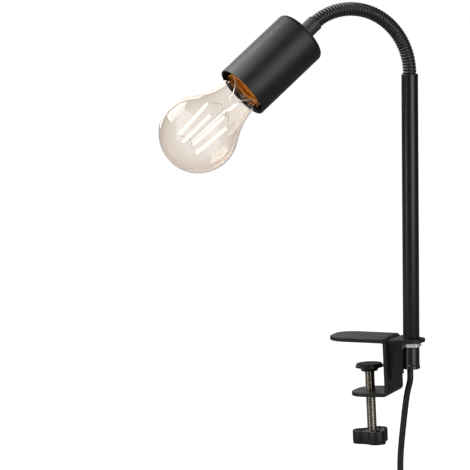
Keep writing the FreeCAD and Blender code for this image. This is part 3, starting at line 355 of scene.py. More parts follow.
black_coat = make_finish(
    "black_powder_coat", (0.006, 0.006, 0.0056), 0.48, specular=0.42, grain=(1800, 0.00004)
)
clamp = add_piece(
    "clamp_strip", bm, "stand", "black_coat", black_coat, "clamp_bracket", flat=True
)

# The hole is cut while the normals are still unweighted, and then becomes part of the mesh.
drill_mesh = bpy.data.meshes.new("drill")
drill_bm = bmesh.new()
bmesh.ops.create_cone(
    drill_bm,
    cap_ends=True,
    segments=64,
    radius1=SCREW_RADIUS + HOLE_PLAY,
    radius2=SCREW_RADIUS + HOLE_PLAY,
    depth=4 * SHEET,
    matrix=lean @ Matrix.Translation((0, 0, -JAW_HEIGHT - SHEET / 2)),
)
drill_bm.to_mesh(drill_mesh)
drill_bm.free()
drill = bpy.data.objects.new("drill", drill_mesh)
bpy.context.scene.collection.objects.link(drill)
drilling = clamp.modifiers.new("tapped_hole", "BOOLEAN")
drilling.object = drill
drilling.solver = "EXACT"
clamp.modifiers.move(1, 0)
weighted = clamp.modifiers["weighted_normals"]
weighted.show_viewport = False
bpy.context.view_layer.update()
drilled = bpy.data.meshes.new_from_object(
    clamp.evaluated_get(bpy.context.evaluated_depsgraph_get())
)
clamp.modifiers.remove(drilling)
weighted.show_viewport = True
clamp.data = drilled
drilled.set_sharp_from_angle(angle=CREASE)
bpy.data.objects.remove(drill)

# ---------------------------------------------------------------- pole bracket
# An angle of 2.5 mm steel, welded to the clamp's back and coated with it. Its upper leg tapers
# to a round ear that the pole stands on.

ANGLE_SHEET = 0.0025
ANGLE_WIDTH = 0.030
ANGLE_TOP = 0.0022
ANGLE_DROP = 0.0307
ANGLE_BEND = 0.0023
POLE_OFFSET = 0.0175
EAR_RADIUS = 0.011
SEAT_GAP = 0.00005
WELD = 0.0001
POLE_X = JAW_DEPTH + POLE_OFFSET


def clamp_face(z):
    """Where the clamp's outer face stands at a height."""
    return (JAW_DEPTH + SHEET + SEAT_GAP - z * math.sin(SPLAY)) / math.cos(SPLAY)


foot_z = ANGLE_TOP - ANGLE_DROP
leg = [
    Vector((clamp_face(foot_z), 0, foot_z)),
    Vector((clamp_face(foot_z) + ANGLE_SHEET, 0, foot_z)),
    Vector((clamp_face(ANGLE_TOP) + ANGLE_SHEET, 0, ANGLE_TOP)),
    Vector((clamp_face(ANGLE_TOP), 0, ANGLE_TOP)),
]
bm = extruded(leg, Vector((0, ANGLE_WIDTH, 0)), Vector((0, -ANGLE_WIDTH / 2, 0)))
round_edges(bm, ANGLE_BEND, 8, lies_at(leg[3].x, leg[3].z))
round_edges(
    bm,
    EDGE_BREAK,
    2,
    lambda edge: sharp(50)(edge) and not lies_at(leg[2].x, leg[2].z)(edge),
)
taper = math.atan2(ANGLE_WIDTH / 2 - EAR_RADIUS, POLE_OFFSET)
root_x = clamp_face(ANGLE_TOP) + ANGLE_SHEET - WELD
ear = bmesh.new()
root = ear.verts.new((root_x, -ANGLE_WIDTH / 2, ANGLE_TOP))
touch = ear.verts.new(
    (
        POLE_X + EAR_RADIUS * math.sin(taper),
        -EAR_RADIUS * math.cos(taper),
        ANGLE_TOP,
    )
)
bmesh.ops.spin(
    ear,
    geom=[touch],
    cent=(POLE_X, 0, 0),
    axis=(0, 0, 1),
    angle=math.pi - 2 * taper,
    steps=40,
    use_merge=False,
)
ear.verts.ensure_lookup_table()
arc = sorted((v for v in ear.verts if v is not root), key=lambda v: v.co.y)
other_root = ear.verts.new((root_x, ANGLE_WIDTH / 2, ANGLE_TOP))
plate = ear.faces.new([root, *arc, other_root])
draw_out(ear, [plate], (0, 0, -ANGLE_SHEET))
round_edges(
    ear,
    EDGE_BREAK,
    2,
    lambda edge: sharp(50)(edge) and min(v.co.x for v in edge.verts) > root_x + WELD,
)
ear_mesh = bpy.data.meshes.new("ear")
ear.to_mesh(ear_mesh)
ear.free()
bm.from_mesh(ear_mesh)
add_piece("pole_angle", bm, "stand", "black_coat", black_coat, "pole_bracket", flat=True)

# ---------------------------------------------------------------- pole and its fixing
# A straight 13 mm steel tube in satin black. A hollow threaded nipple runs through the ear, and a
# black washer, a zinc-plated nut and a black cord grip hold it from below.

POLE_RADIUS = 0.0065
POLE_WALL = 0.001
POLE_LENGTH = 0.207
NUT_FLATS = 0.014
NUT_HEIGHT = 0.0032
NUT_FACE = 0.0007
NUT_EDGE = 0.0005
WASHER_SHEET = 0.0008
NUT_TURN = math.radians(21)


def turned(corners, steps=96, closed=True):
    """A piece turned about the vertical axis from its outline of radius and height."""
    bm = bmesh.new()
    rim = [bm.verts.new((radius, 0, height)) for radius, height in corners]
    pairs = list(zip(rim, rim[1:]))
    if closed:
        pairs.append((rim[-1], rim[0]))
    edges = [bm.edges.new(pair) for pair in pairs]
    bmesh.ops.spin(
        bm,
        geom=rim + edges,
        cent=(0, 0, 0),
        axis=(0, 0, 1),
        angle=2 * math.pi,
        steps=steps,
        use_merge=True,
    )
    bmesh.ops.remove_doubles(bm, verts=bm.verts, dist=1e-7)
    bmesh.ops.dissolve_degenerate(bm, edges=bm.edges, dist=1e-7)
    bmesh.ops.recalc_face_normals(bm, faces=bm.faces)
    return bm


satin_black = make_finish(
    "satin_black_paint", (0.005, 0.0048, 0.0045), 0.33, specular=0.5, grain=(1500, 0.00002)
)
pole_low = ANGLE_TOP + SEAT_GAP
pole_high = ANGLE_TOP + POLE_LENGTH
bm = turned(
    (
        (POLE_RADIUS - POLE_WALL, pole_low),
        (POLE_RADIUS, pole_low),
        (POLE_RADIUS, pole_high),
        (POLE_RADIUS - POLE_WALL, pole_high),
    )
)
round_edges(bm, EDGE_BREAK, 3, sharp(50))
bmesh.ops.translate(bm, verts=bm.verts, vec=(POLE_X, 0, 0))
add_piece("pole", bm, "stand", "black_coat", satin_black, "pole_tube")

zinc = make_finish(
    "zinc_plating", (0.86, 0.86, 0.85), 0.34, metallic=0.6, mottle=(220, 0.06), grain=(900, 0.00001)
)
nut_low = ANGLE_TOP - ANGLE_SHEET - WASHER_SHEET - 2 * SEAT_GAP - NUT_HEIGHT
bm = bmesh.new()
bmesh.ops.create_circle(
    bm,
    cap_ends=True,
    segments=6,
    radius=NUT_FLATS / 2 / math.cos(math.pi / 6),
    matrix=Matrix.Rotation(NUT_TURN + math.pi / 6, 4, "Z"),
)
bmesh.ops.inset_region(bm, faces=bm.faces[:], thickness=NUT_FACE)
draw_out(bm, bm.faces[:], (0, 0, NUT_HEIGHT))
round_edges(bm, NUT_EDGE, 3, sharp(50))
bmesh.ops.translate(bm, verts=bm.verts, vec=(POLE_X, 0, nut_low))
add_piece("pole_fixing_nut", bm, "stand", "zinc", zinc, "pole_nut", flat=True)


def refinish(material, *nodes):
    """Gives CAD nodes that stay their finish."""
    for node in nodes:
        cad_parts[node].data.materials.clear()
        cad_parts[node].data.materials.append(material)


gloss_black = make_finish(
    "gloss_black_moulding", (0.004, 0.004, 0.0045), 0.23, specular=0.8, mottle=(120, 0.1)
)
steel = make_finish(
    "bright_steel",
    (0.55, 0.55, 0.54),
    0.32,
    metallic=1.0,
    mottle=(300, 0.08),
    grain=(1200, 0.00001),
)
refinish(zinc, "pole_nipple", "head_nipple")
refinish(gloss_black, "cord_grip", "pole_foot_bush", "neck_bush", "lock_washer")
refinish(steel, "cord_grip_screw")

# ---------------------------------------------------------------- clamp screw, foot and knob
# A rolled-thread steel screw, zinc-plated yellow. It turns in the lower jaw, swivels in a black
# pressure foot with a rubber pad, and carries a moulded three-lobed knob.

SCREW_TOP = -0.0251
KNOB_TOP = -0.0717
KNOB_HEIGHT = 0.0108
KNOB_FLOOR = 0.0025
PITCH = 0.00125
THREAD_DEPTH = 0.00032
HUB_RADIUS = 0.0102
LOBE_RADIUS = 0.0070
LOBE_OFFSET = 0.0086
LOBE_TURN = math.radians(72)
KNOB_RIM = 0.0017
KNOB_RECESS = 0.0020
KNOB_SLOPE = 0.0003
KNOB_EDGE = 0.0007
KNOB_BOSS = 0.0062
BOSS_TAPER = 0.0004
BOSS_EDGE = 0.0003
VALLEY = 26


def threaded(profile, pitch, low, high, steps):
    """A helical surface wound from the outline of one turn, cut off square at two heights."""
    bm = bmesh.new()
    rim = [bm.verts.new((radius, 0, low - pitch + height)) for radius, height in profile]
    edges = [bm.edges.new(pair) for pair in zip(rim, rim[1:])]
    turns = math.ceil((high - low) / pitch) + 2
    bmesh.ops.spin(
        bm,
        geom=rim + edges,
        cent=(0, 0, 0),
        axis=(0, 0, 1),
        dvec=(0, 0, pitch / steps),
        angle=2 * math.pi * turns,
        steps=steps * turns,
        use_merge=False,
    )
    bmesh.ops.remove_doubles(bm, verts=bm.verts, dist=3e-6)
    for height, way in ((low, -1), (high, 1)):
        bmesh.ops.bisect_plane(
            bm,
            geom=bm.verts[:] + bm.edges[:] + bm.faces[:],
            dist=1e-7,
            plane_co=(0, 0, height),
            plane_no=(0, 0, way),
            clear_outer=True,
        )
    bmesh.ops.holes_fill(bm, edges=[e for e in bm.edges if e.is_boundary], sides=0)
    bmesh.ops.recalc_face_normals(bm, faces=bm.faces)
    return bm


yellow_zinc = make_finish(
    "yellow_zinc_plating", (0.33, 0.29, 0.245), 0.20, metallic=1.0, mottle=(260, 0.05)
)
bm = threaded(
    (
        (SCREW_RADIUS - THREAD_DEPTH, 0.0),
        (SCREW_RADIUS - 0.125 * THREAD_DEPTH, 0.16 * PITCH),
        (SCREW_RADIUS, 0.30 * PITCH),
        (SCREW_RADIUS, 0.70 * PITCH),
        (SCREW_RADIUS - 0.125 * THREAD_DEPTH, 0.84 * PITCH),
        (SCREW_RADIUS - THREAD_DEPTH, PITCH),
    ),
    PITCH,
    KNOB_TOP - KNOB_HEIGHT + KNOB_FLOOR,
    SCREW_TOP,
    32,
)
bmesh.ops.transform(bm, matrix=lean, verts=bm.verts)
add_piece("threaded_spindle", bm, "screw", "steel", yellow_zinc, "clamp_screw")


def knob_radius(angle):
    """How far the knob's lobed side stands out at an angle: the lobe, or the hub between lobes."""
    off = (angle - LOBE_TURN + math.pi / 3) % (2 * math.pi / 3) - math.pi / 3
    reach = LOBE_RADIUS**2 - (LOBE_OFFSET * math.sin(off)) ** 2
    lobe = LOBE_OFFSET * math.cos(off) + math.sqrt(reach) if reach > 0 else 0.0
    return (lobe**VALLEY + HUB_RADIUS**VALLEY) ** (1 / VALLEY)


bm = bmesh.new()
bmesh.ops.create_circle(bm, cap_ends=True, segments=144, radius=1.0)
for vert in bm.verts:
    reach = knob_radius(math.atan2(vert.co.y, vert.co.x))
    vert.co = vert.co.normalized() * reach
    vert.co.z = KNOB_TOP - KNOB_HEIGHT
draw_out(bm, bm.faces[:], (0, 0, KNOB_HEIGHT))
top_face = max(bm.faces, key=lambda face: face.calc_center_median().z)
bmesh.ops.inset_region(bm, faces=[top_face], thickness=KNOB_RIM)
top_face = max(bm.faces, key=lambda face: (len(face.verts), face.calc_center_median().z))
bmesh.ops.inset_region(bm, faces=[top_face], thickness=KNOB_SLOPE, depth=-KNOB_RECESS)
round_edges(bm, KNOB_EDGE, 3, sharp(45))
bmesh.ops.transform(bm, matrix=lean, verts=bm.verts)
black_plastic = make_finish(
    "black_moulded_plastic", (0.004, 0.004, 0.0042), 0.44, specular=0.42, grain=(2400, 0.00003)
)
add_piece("lobed_knob", bm, "screw", "black_plastic", black_plastic, "clamp_knob")
boss_low = KNOB_TOP - KNOB_RECESS - BOSS_TAPER / 2
boss = turned(
    (
        (SCREW_RADIUS, boss_low),
        (KNOB_BOSS, boss_low),
        (KNOB_BOSS - BOSS_TAPER, KNOB_TOP - BOSS_TAPER),
        (SCREW_RADIUS + BOSS_TAPER, KNOB_TOP - BOSS_TAPER),
        (SCREW_RADIUS, KNOB_TOP - 2.5 * BOSS_TAPER),
    )
)
round_edges(boss, BOSS_EDGE, 2, sharp(45))
bmesh.ops.transform(boss, matrix=lean, verts=boss.verts)
add_piece("knob_boss", boss, "screw", "black_plastic", black_plastic)
rubber = make_finish("black_rubber", (0.02, 0.02, 0.02), 0.7, specular=0.3, grain=(2000, 0.00004))
refinish(satin_black, "pressure_foot")
refinish(rubber, "foot_pad")

# ---------------------------------------------------------------- gooseneck
# A hose wound from black steel wire, so its ridges run round it as a fine screw thread. It bends
# at any place, and is made here in nine lengths, each bending at one joint of the neck.

HOSE_RADIUS = 0.00535
NECK_RADIUS = 0.0518
JOINTS = 9
BEND = math.radians(124.0)
EACH = BEND / JOINTS
LAST_LEAN = math.radians(5.2)
HEADING = math.radians(225)
RIDGES = 5
RIDGE_DEPTH = 0.0007
RIDGE_SHOULDER = 0.25 * RIDGE_DEPTH

ahead = Vector((math.cos(HEADING), math.sin(HEADING), 0))
sideways = Vector((0, 0, 1)).cross(ahead)
neck_start = Vector((POLE_X, 0, pole_high))
vertex_radius = NECK_RADIUS / math.cos(EACH / 2)
half_link = NECK_RADIUS * math.tan(EACH / 2)


def on_neck(angle, radius):
    """A point at an angle from the pole's top and a distance from the arc's centre."""
    level = ahead * (NECK_RADIUS - radius * math.cos(angle))
    return neck_start + level + Vector((0, 0, radius * math.sin(angle)))


joints = [on_neck((number + 0.5) * EACH, vertex_radius) for number in range(JOINTS)]
head_turn = Matrix.Rotation(JOINTS * EACH + LAST_LEAN, 4, sideways)
head_axis = (head_turn @ Vector((0, 0, 1, 0))).to_3d()
head_start = joints[-1] + head_axis * half_link
seams = [neck_start] + [(a + b) / 2 for a, b in zip(joints, joints[1:])] + [head_start]

black_hose = make_finish(
    "black_wire_hose", (0.008, 0.0078, 0.0075), 0.37, specular=0.7, mottle=(400, 0.2)
)
hose_length = EACH * NECK_RADIUS
ridge = hose_length / RIDGES
for number, (start, middle, end) in enumerate(zip(seams, joints, seams[1:])):
    bm = threaded(
        (
            (HOSE_RADIUS - RIDGE_DEPTH, 0.0),
            (HOSE_RADIUS - RIDGE_SHOULDER, 0.16 * ridge),
            (HOSE_RADIUS, 0.34 * ridge),
            (HOSE_RADIUS, 0.58 * ridge),
            (HOSE_RADIUS - RIDGE_SHOULDER, 0.76 * ridge),
            (HOSE_RADIUS - RIDGE_DEPTH, 0.92 * ridge),
            (HOSE_RADIUS - RIDGE_DEPTH, ridge),
        ),
        ridge,
        0.0,
        hose_length,
        36,
    )
    for vert in bm.verts:
        share = vert.co.z / hose_length
        centre = start * (1 - share) ** 2 + middle * 2 * share * (1 - share) + end * share**2
        along = ((middle - start) * (1 - share) + (end - middle) * share).normalized()
        across = sideways.cross(along)
        vert.co = centre + across * vert.co.x + sideways * vert.co.y
    bmesh.ops.recalc_face_normals(bm, faces=bm.faces)
    lengths = ("neck_root" if number == 0 else f"neck_link_{number}",)
    if number == JOINTS - 1:
        lengths += ("neck_tip",)
    last = "head" if number == JOINTS - 1 else f"neck_{number + 1}"
    add_piece(
        f"hose_{number + 1}",
        bm,
        (f"neck_{number}", last, start, end),
        "black_hose",
        black_hose,
        *lengths,
    )

# ---------------------------------------------------------------- cup and lampholder
# A turned ferrule joins the hose to a spun aluminium cup in matt black. Inside, a nut and a
# nipple hold a black lampholder with a brass screw shell.

FERRULE_RADIUS = 0.0062
FERRULE_LENGTH = 0.0144
FERRULE_EDGE = 0.0006
CUP_RADIUS = 0.0218
CUP_LENGTH = 0.066
CUP_WALL = 0.0011
CUP_CORNER = 0.004
CUP_EDGE = 0.0004
NIPPLE_HOLE = 0.0051
head = Matrix.Translation(head_start) @ head_turn

ferrule_low = -0.0002
ferrule_high = FERRULE_LENGTH - SEAT_GAP
ferrule = turned(
    (
        (HOSE_RADIUS - RIDGE_DEPTH, ferrule_low),
        (FERRULE_RADIUS, ferrule_low),
        (FERRULE_RADIUS, ferrule_high),
        (HOSE_RADIUS - RIDGE_DEPTH, ferrule_high),
    )
)
round_edges(ferrule, FERRULE_EDGE, 4, sharp(50))
bmesh.ops.transform(ferrule, matrix=head, verts=ferrule.verts)
hose_ferrule = make_finish(
    "ferrule_paint", (0.03, 0.03, 0.03), 0.45, specular=0.45, grain=(1500, 0.00003)
)
add_piece("hose_ferrule", ferrule, "head", "black_coat", hose_ferrule, "neck_ferrule")

cup_low = FERRULE_LENGTH
cup_mouth = FERRULE_LENGTH + CUP_LENGTH
cup = turned(
    (
        (NIPPLE_HOLE, cup_low),
        (CUP_RADIUS, cup_low),
        (CUP_RADIUS, cup_mouth),
        (CUP_RADIUS - CUP_WALL, cup_mouth),
        (CUP_RADIUS - CUP_WALL, cup_low + CUP_WALL),
        (NIPPLE_HOLE, cup_low + CUP_WALL),
    ),
    steps=160,
)
for radius, height, bend in (
    (CUP_RADIUS, cup_low, CUP_CORNER),
    (CUP_RADIUS - CUP_WALL, cup_low + CUP_WALL, CUP_CORNER - CUP_WALL),
):
    round_edges(
        cup,
        bend,
        10,
        lambda edge, radius=radius, height=height: all(
            abs(vert.co.z - height) < 1e-5 and abs(vert.co.xy.length - radius) < 1e-4
            for vert in edge.verts
        ),
    )
round_edges(cup, CUP_EDGE, 3, sharp(50))
bmesh.ops.transform(cup, matrix=head, verts=cup.verts)
matt_coat = make_finish(
    "matt_black_coat", (0.006, 0.0062, 0.006), 0.44, specular=0.45, grain=(1600, 0.00005)
)
add_piece("lamp_cup", cup, "head", "black_coat", matt_coat, "socket_cup")

holder_plastic = make_finish("holder_plastic", (0.02, 0.021, 0.022), 0.4, grain=(1500, 0.00003))
brass = make_finish("brass", (0.78, 0.53, 0.24), 0.3, metallic=1.0, mottle=(200, 0.1))
refinish(holder_plastic, "holder_base", "holder_body")
refinish(zinc, "cup_nut")
refinish(brass, "holder_shell", "centre_contact")
refinish(steel, "terminal_screws")

# ---------------------------------------------------------------- filament bulb
# A clear A60 bulb with an E27 cap of copper-coloured plated brass. Four coated filaments stand
# on lead wires round a glass stem.

BALL_RADIUS = 0.030
BULB_NECK = 0.0152
BULB_LENGTH = 0.1046
FLARE_START = 0.025
GLASS_WALL = 0.0008
CAP_RADIUS = 0.0132
CAP_LENGTH = 0.0265
CAP_START = 0.0065
COLLAR_RADIUS = 0.0158
COLLAR_LENGTH = 0.0032
CAP_PITCH = 0.003629
CAP_THREAD = 0.0007
CAP_SHEET = 0.0003
SHOULDER = 0.0004
COLLAR_EDGE = 0.0001
HOLDER_RECESS = 0.0054
CAP_SEAT = 0.0225

tip = cup_mouth - HOLDER_RECESS - CAP_SEAT
ball_height = tip + BULB_LENGTH - BALL_RADIUS
flare_height = tip + FLARE_START
rise = ball_height - flare_height
flare_radius = (rise**2 + BULB_NECK**2 - BALL_RADIUS**2) / (2 * (BALL_RADIUS - BULB_NECK))
meet = math.atan2(flare_height - ball_height, BULB_NECK + flare_radius)
collar_low = tip + CAP_LENGTH - COLLAR_LENGTH
glass_low = collar_low + GLASS_WALL

# The glass is two arcs that run smoothly into each other, and a straight neck down to the collar.
bm = bmesh.new()
top = bm.verts.new((0, 0, ball_height + BALL_RADIUS))
bmesh.ops.spin(
    bm,
    geom=[top],
    cent=(0, 0, ball_height),
    axis=(0, 1, 0),
    angle=math.pi / 2 - meet,
    steps=44,
    use_merge=False,
)
lowest = min(bm.verts, key=lambda vert: vert.co.z)
bmesh.ops.spin(
    bm,
    geom=[lowest],
    cent=(BULB_NECK + flare_radius, 0, flare_height),
    axis=(0, 1, 0),
    angle=meet,
    steps=18,
    use_merge=False,
)
lowest = min(bm.verts, key=lambda vert: vert.co.z)
drawn = bmesh.ops.extrude_vert_indiv(bm, verts=[lowest])
drawn["verts"][0].co.z = glass_low
bmesh.ops.spin(
    bm,
    geom=bm.verts[:] + bm.edges[:],
    cent=(0, 0, 0),
    axis=(0, 0, 1),
    angle=2 * math.pi,
    steps=128,
    use_merge=True,
)
bmesh.ops.remove_doubles(bm, verts=bm.verts, dist=1e-6)
bmesh.ops.recalc_face_normals(bm, faces=bm.faces)
bmesh.ops.solidify(bm, geom=bm.faces[:], thickness=GLASS_WALL)
bmesh.ops.transform(bm, matrix=head, verts=bm.verts)


def make_glass(name, tint, edge, bend, shine):
    """Clear glass with a faint tint, deeper at its edges, and the slight waves of blown glass."""
    material = bpy.data.materials.new(name)
    material.use_nodes = True
    tree = material.node_tree
    shader = tree.nodes["Principled BSDF"]
    depth = tree.nodes.new("ShaderNodeValToRGB")
    depth.color_ramp.elements[0].position = 0.08
    depth.color_ramp.elements[1].position = 0.75
    depth.color_ramp.elements[0].color = (*tint, 1)
    depth.color_ramp.elements[1].color = (*edge, 1)
    facing = tree.nodes.new("ShaderNodeLayerWeight").outputs["Facing"]
    tree.links.new(facing, depth.inputs["Fac"])
    tree.links.new(depth.outputs["Color"], shader.inputs["Base Color"])
    shader.inputs["Roughness"].default_value = 0.0
    shader.inputs["Specular Tint"].default_value = (shine, shine, shine, 1)
    shader.inputs["IOR"].default_value = bend
    shader.inputs["Transmission Weight"].default_value = 1.0
    place = tree.nodes.new("ShaderNodeTexCoord").outputs["Object"]
    waves = tree.nodes.new("ShaderNodeTexNoise")
    waves.inputs["Scale"].default_value = 55
    waves.inputs["Detail"].default_value = 1.0
    tree.links.new(place, waves.inputs["Vector"])
    bump = tree.nodes.new("ShaderNodeBump")
    bump.inputs["Distance"].default_value = 0.00006
    tree.links.new(waves.outputs["Fac"], bump.inputs["Height"])
    tree.links.new(bump.outputs["Normal"], shader.inputs["Normal"])
    return material


clear_glass = make_glass(
    "clear_bulb_glass", (0.90, 0.862, 0.825), (0.70, 0.61, 0.53), 1.46, 0.3
)
add_piece("bulb_envelope", bm, "bulb", "glass", clear_glass, "bulb_glass")

cap_metal = make_finish(
    "copper_plated_brass", (1.0, 0.38, 0.02), 0.45, metallic=0.1, mottle=(160, 0.12)
)
cap = threaded(
    (
        (CAP_RADIUS - CAP_THREAD, 0.0),
        (CAP_RADIUS - 0.75 * CAP_THREAD, 0.15 * CAP_PITCH),
        (CAP_RADIUS - 0.25 * CAP_THREAD, 0.32 * CAP_PITCH),
        (CAP_RADIUS, 0.5 * CAP_PITCH),
        (CAP_RADIUS - 0.25 * CAP_THREAD, 0.68 * CAP_PITCH),
        (CAP_RADIUS - 0.75 * CAP_THREAD, 0.85 * CAP_PITCH),
        (CAP_RADIUS - CAP_THREAD, CAP_PITCH),
    ),
    CAP_PITCH,
    tip + CAP_START,
    collar_low - SHOULDER,
    64,
)

# The thread's two flat ends come off, so that the cap is a shell.
bmesh.ops.delete(
    cap, geom=[face for face in cap.faces if len(face.verts) > 8], context="FACES_ONLY"
)
bmesh.ops.solidify(cap, geom=cap.faces[:], thickness=CAP_SHEET)
bmesh.ops.transform(cap, matrix=head, verts=cap.verts)
add_piece("bulb_screw_cap", cap, "bulb", "cap_metal", cap_metal, "bulb_cap")
collar = turned(
    (
        (CAP_RADIUS - CAP_THREAD, collar_low - 1.5 * SHOULDER),
        (COLLAR_RADIUS, collar_low),
        (COLLAR_RADIUS, tip + CAP_LENGTH),
        (BULB_NECK + SEAT_GAP, tip + CAP_LENGTH),
        (BULB_NECK + SEAT_GAP, collar_low + SHOULDER),
        (CAP_RADIUS - 2 * CAP_THREAD, collar_low),
    ),
    steps=128,
)
round_edges(collar, COLLAR_EDGE, 2, sharp(50))
bmesh.ops.transform(collar, matrix=head, verts=collar.verts)
add_piece("bulb_cap_collar", collar, "bulb", "cap_metal", cap_metal)
cap_glass = make_finish("black_cap_glass", (0.01, 0.01, 0.012), 0.15, mottle=(200, 0.2))
solder = make_finish("solder", (0.6, 0.6, 0.58), 0.4, metallic=1.0, mottle=(500, 0.1))
refinish(cap_glass, "bulb_insulator")
refinish(solder, "bulb_tip_contact")

STEM_LOW = tip + CAP_LENGTH - 0.002
STEM_TOP = tip + 0.084
STEM_PLAY = 0.0003
FLARE_RADIUS = BULB_NECK - GLASS_WALL - STEM_PLAY
stem = turned(
    (
        (0.0, STEM_LOW + 0.0155),
        (0.0022, STEM_LOW + 0.0150),
        (0.0037, STEM_LOW + 0.0120),
        (0.0046, STEM_LOW + 0.0080),
        (0.0066, STEM_LOW + 0.0042),
        (0.0100, STEM_LOW + 0.0014),
        (FLARE_RADIUS, STEM_LOW),
        (FLARE_RADIUS, STEM_LOW + 0.0005),
        (0.0104, STEM_LOW + 0.0019),
        (0.0071, STEM_LOW + 0.0046),
        (0.0052, STEM_LOW + 0.0083),
        (0.0045, STEM_LOW + 0.0125),
        (0.0044, STEM_LOW + 0.0180),
        (0.0036, STEM_LOW + 0.0215),
        (0.0018, STEM_LOW + 0.0250),
        (0.0016, STEM_LOW + 0.0270),
        (0.0012, STEM_TOP - 0.0012),
        (0.0008, STEM_TOP - 0.0003),
        (0.0, STEM_TOP),
    ),
    steps=64,
    closed=False,
)
bmesh.ops.transform(stem, matrix=head, verts=stem.verts)
stem_glass = make_glass("stem_glass", (0.97, 0.96, 0.95), (0.95, 0.93, 0.91), 1.07, 0.4)
add_piece("bulb_stem_glass", stem, "bulb", "glass", stem_glass, "bulb_stem")

FILAMENT_RADIUS = 0.0010
FILAMENT_HALF = 0.017
FILAMENT_MIDDLE = tip + 0.0704
SPREAD_LOW = 0.0125
SPREAD_HIGH = 0.010
FILAMENT_END = 0.0005
TAB_LENGTH = 0.0018
TAB_RADIUS = 0.0005
TAB_LAP = 0.0002
LEAD_RADIUS = 0.0004
LEAD_FOOT = 0.0039
LEAD_FOOT_HEIGHT = tip + CAP_LENGTH + 0.020
LEAD_LAP = 0.0001
CROWN_RADIUS = 0.0008
CROWN_HEIGHT = STEM_TOP - 0.0012


def bar(bm, start, end, radius, sides, ends=0.0):
    """A round bar between two points, its ends rounded when a radius for them is given."""
    along = end - start
    turning = along.to_track_quat("Z", "Y").to_matrix().to_4x4()
    made = bmesh.ops.create_cone(
        bm,
        cap_ends=True,
        segments=sides,
        radius1=radius,
        radius2=radius,
        depth=along.length,
        matrix=Matrix.Translation((start + end) / 2) @ turning,
    )
    if ends:
        verts = set(made["verts"])
        way = along.normalized()
        rims = [
            edge
            for edge in bm.edges
            if set(edge.verts) <= verts
            and sharp(50)(edge)
            and abs((edge.verts[0].co - edge.verts[1].co).dot(way)) < 1e-6
        ]
        bmesh.ops.bevel(
            bm,
            geom=rims,
            offset=ends,
            offset_type="OFFSET",
            segments=3,
            profile=0.5,
            affect="EDGES",
            clamp_overlap=True,
            material=-1,
        )


strands = bmesh.new()
leads = bmesh.new()
tabs = bmesh.new()
for number in range(4):
    angle = 2 * math.pi * (number + 0.5) / 4
    out = Vector((math.cos(angle), math.sin(angle), 0))
    low = head @ (out * SPREAD_LOW + Vector((0, 0, FILAMENT_MIDDLE - FILAMENT_HALF)))
    high = head @ (out * SPREAD_HIGH + Vector((0, 0, FILAMENT_MIDDLE + FILAMENT_HALF)))
    along = (high - low).normalized()
    inset = along * (TAB_LENGTH - TAB_LAP)
    bar(strands, low + inset, high - inset, FILAMENT_RADIUS, 20, FILAMENT_END)
    bar(tabs, low, low + along * TAB_LENGTH, TAB_RADIUS, 12)
    bar(tabs, high - along * TAB_LENGTH, high, TAB_RADIUS, 12)
    foot = head @ (out * LEAD_FOOT + Vector((0, 0, LEAD_FOOT_HEIGHT)))
    bar(leads, low - along * LEAD_LAP, foot, LEAD_RADIUS * 0.75, 12)
    crown = head @ (out * CROWN_RADIUS + Vector((0, 0, CROWN_HEIGHT)))
    bar(leads, high, crown, LEAD_RADIUS * 0.6, 12)
filament = bpy.data.materials.new("lit_filament")
filament.use_nodes = True
tree = filament.node_tree
coating = tree.nodes["Principled BSDF"]
coating.inputs["Base Color"].default_value = (0.95, 0.75, 0.35, 1)
coating.inputs["Roughness"].default_value = 0.6
coating.inputs["Emission Strength"].default_value = 1.9
chips = tree.nodes.new("ShaderNodeTexNoise")
chips.inputs["Scale"].default_value = 900
ramp = tree.nodes.new("ShaderNodeValToRGB")
ramp.color_ramp.elements[0].color = (1.0, 0.80, 0.50, 1)
ramp.color_ramp.elements[1].color = (1.0, 0.90, 0.68, 1)
tree.links.new(tree.nodes.new("ShaderNodeTexCoord").outputs["Object"], chips.inputs["Vector"])
tree.links.new(chips.outputs["Fac"], ramp.inputs["Fac"])
tree.links.new(ramp.outputs["Color"], coating.inputs["Emission Color"])
add_piece("led_filaments", strands, "bulb", "filament", filament, "bulb_filaments")
add_piece("filament_leads", leads, "bulb", "wire", steel, "bulb_lead_wires")
add_piece("filament_tabs", tabs, "bulb", "wire", steel)

# ---------------------------------------------------------------- mains lead
# A round 5 mm lead in dark grey leaves the grip with a slight kink and hangs through its switch.
# The spare length is wound into a small tied coil, and the plug hangs from it.

LEAD_DIAMETER = 0.005
COIL_RADIUS = 0.029
COIL_CENTRE = Vector((-0.0028, 0.0052, -0.206))
LANE = LEAD_DIAMETER
TURN_POINTS = 16
SHIFT_POINTS = 3
HANG_X = 0.0262
PLUG_TOP = -0.24285

route = [
    Vector(spot) / 1000
    for spot in (
        (34.6, 0.0, -18.5),
        (34.5, -0.2, -24.5),
        (34.8, -0.4, -31.0),
        (32.1, 0.0, -40.0),
        (30.4, 0.3, -50.5),
        (28.7, 0.2, -65.0),
        (27.1, -0.2, -80.0),
        (25.8, 0.1, -95.0),
        (25.9, 0.0, -109.0),
        (26.2, 0.2, -121.0),
        (26.2, 0.2, -150.0),
        (26.2, 0.2, -178.0),
        (26.2, 0.2, -196.0),
    )
]

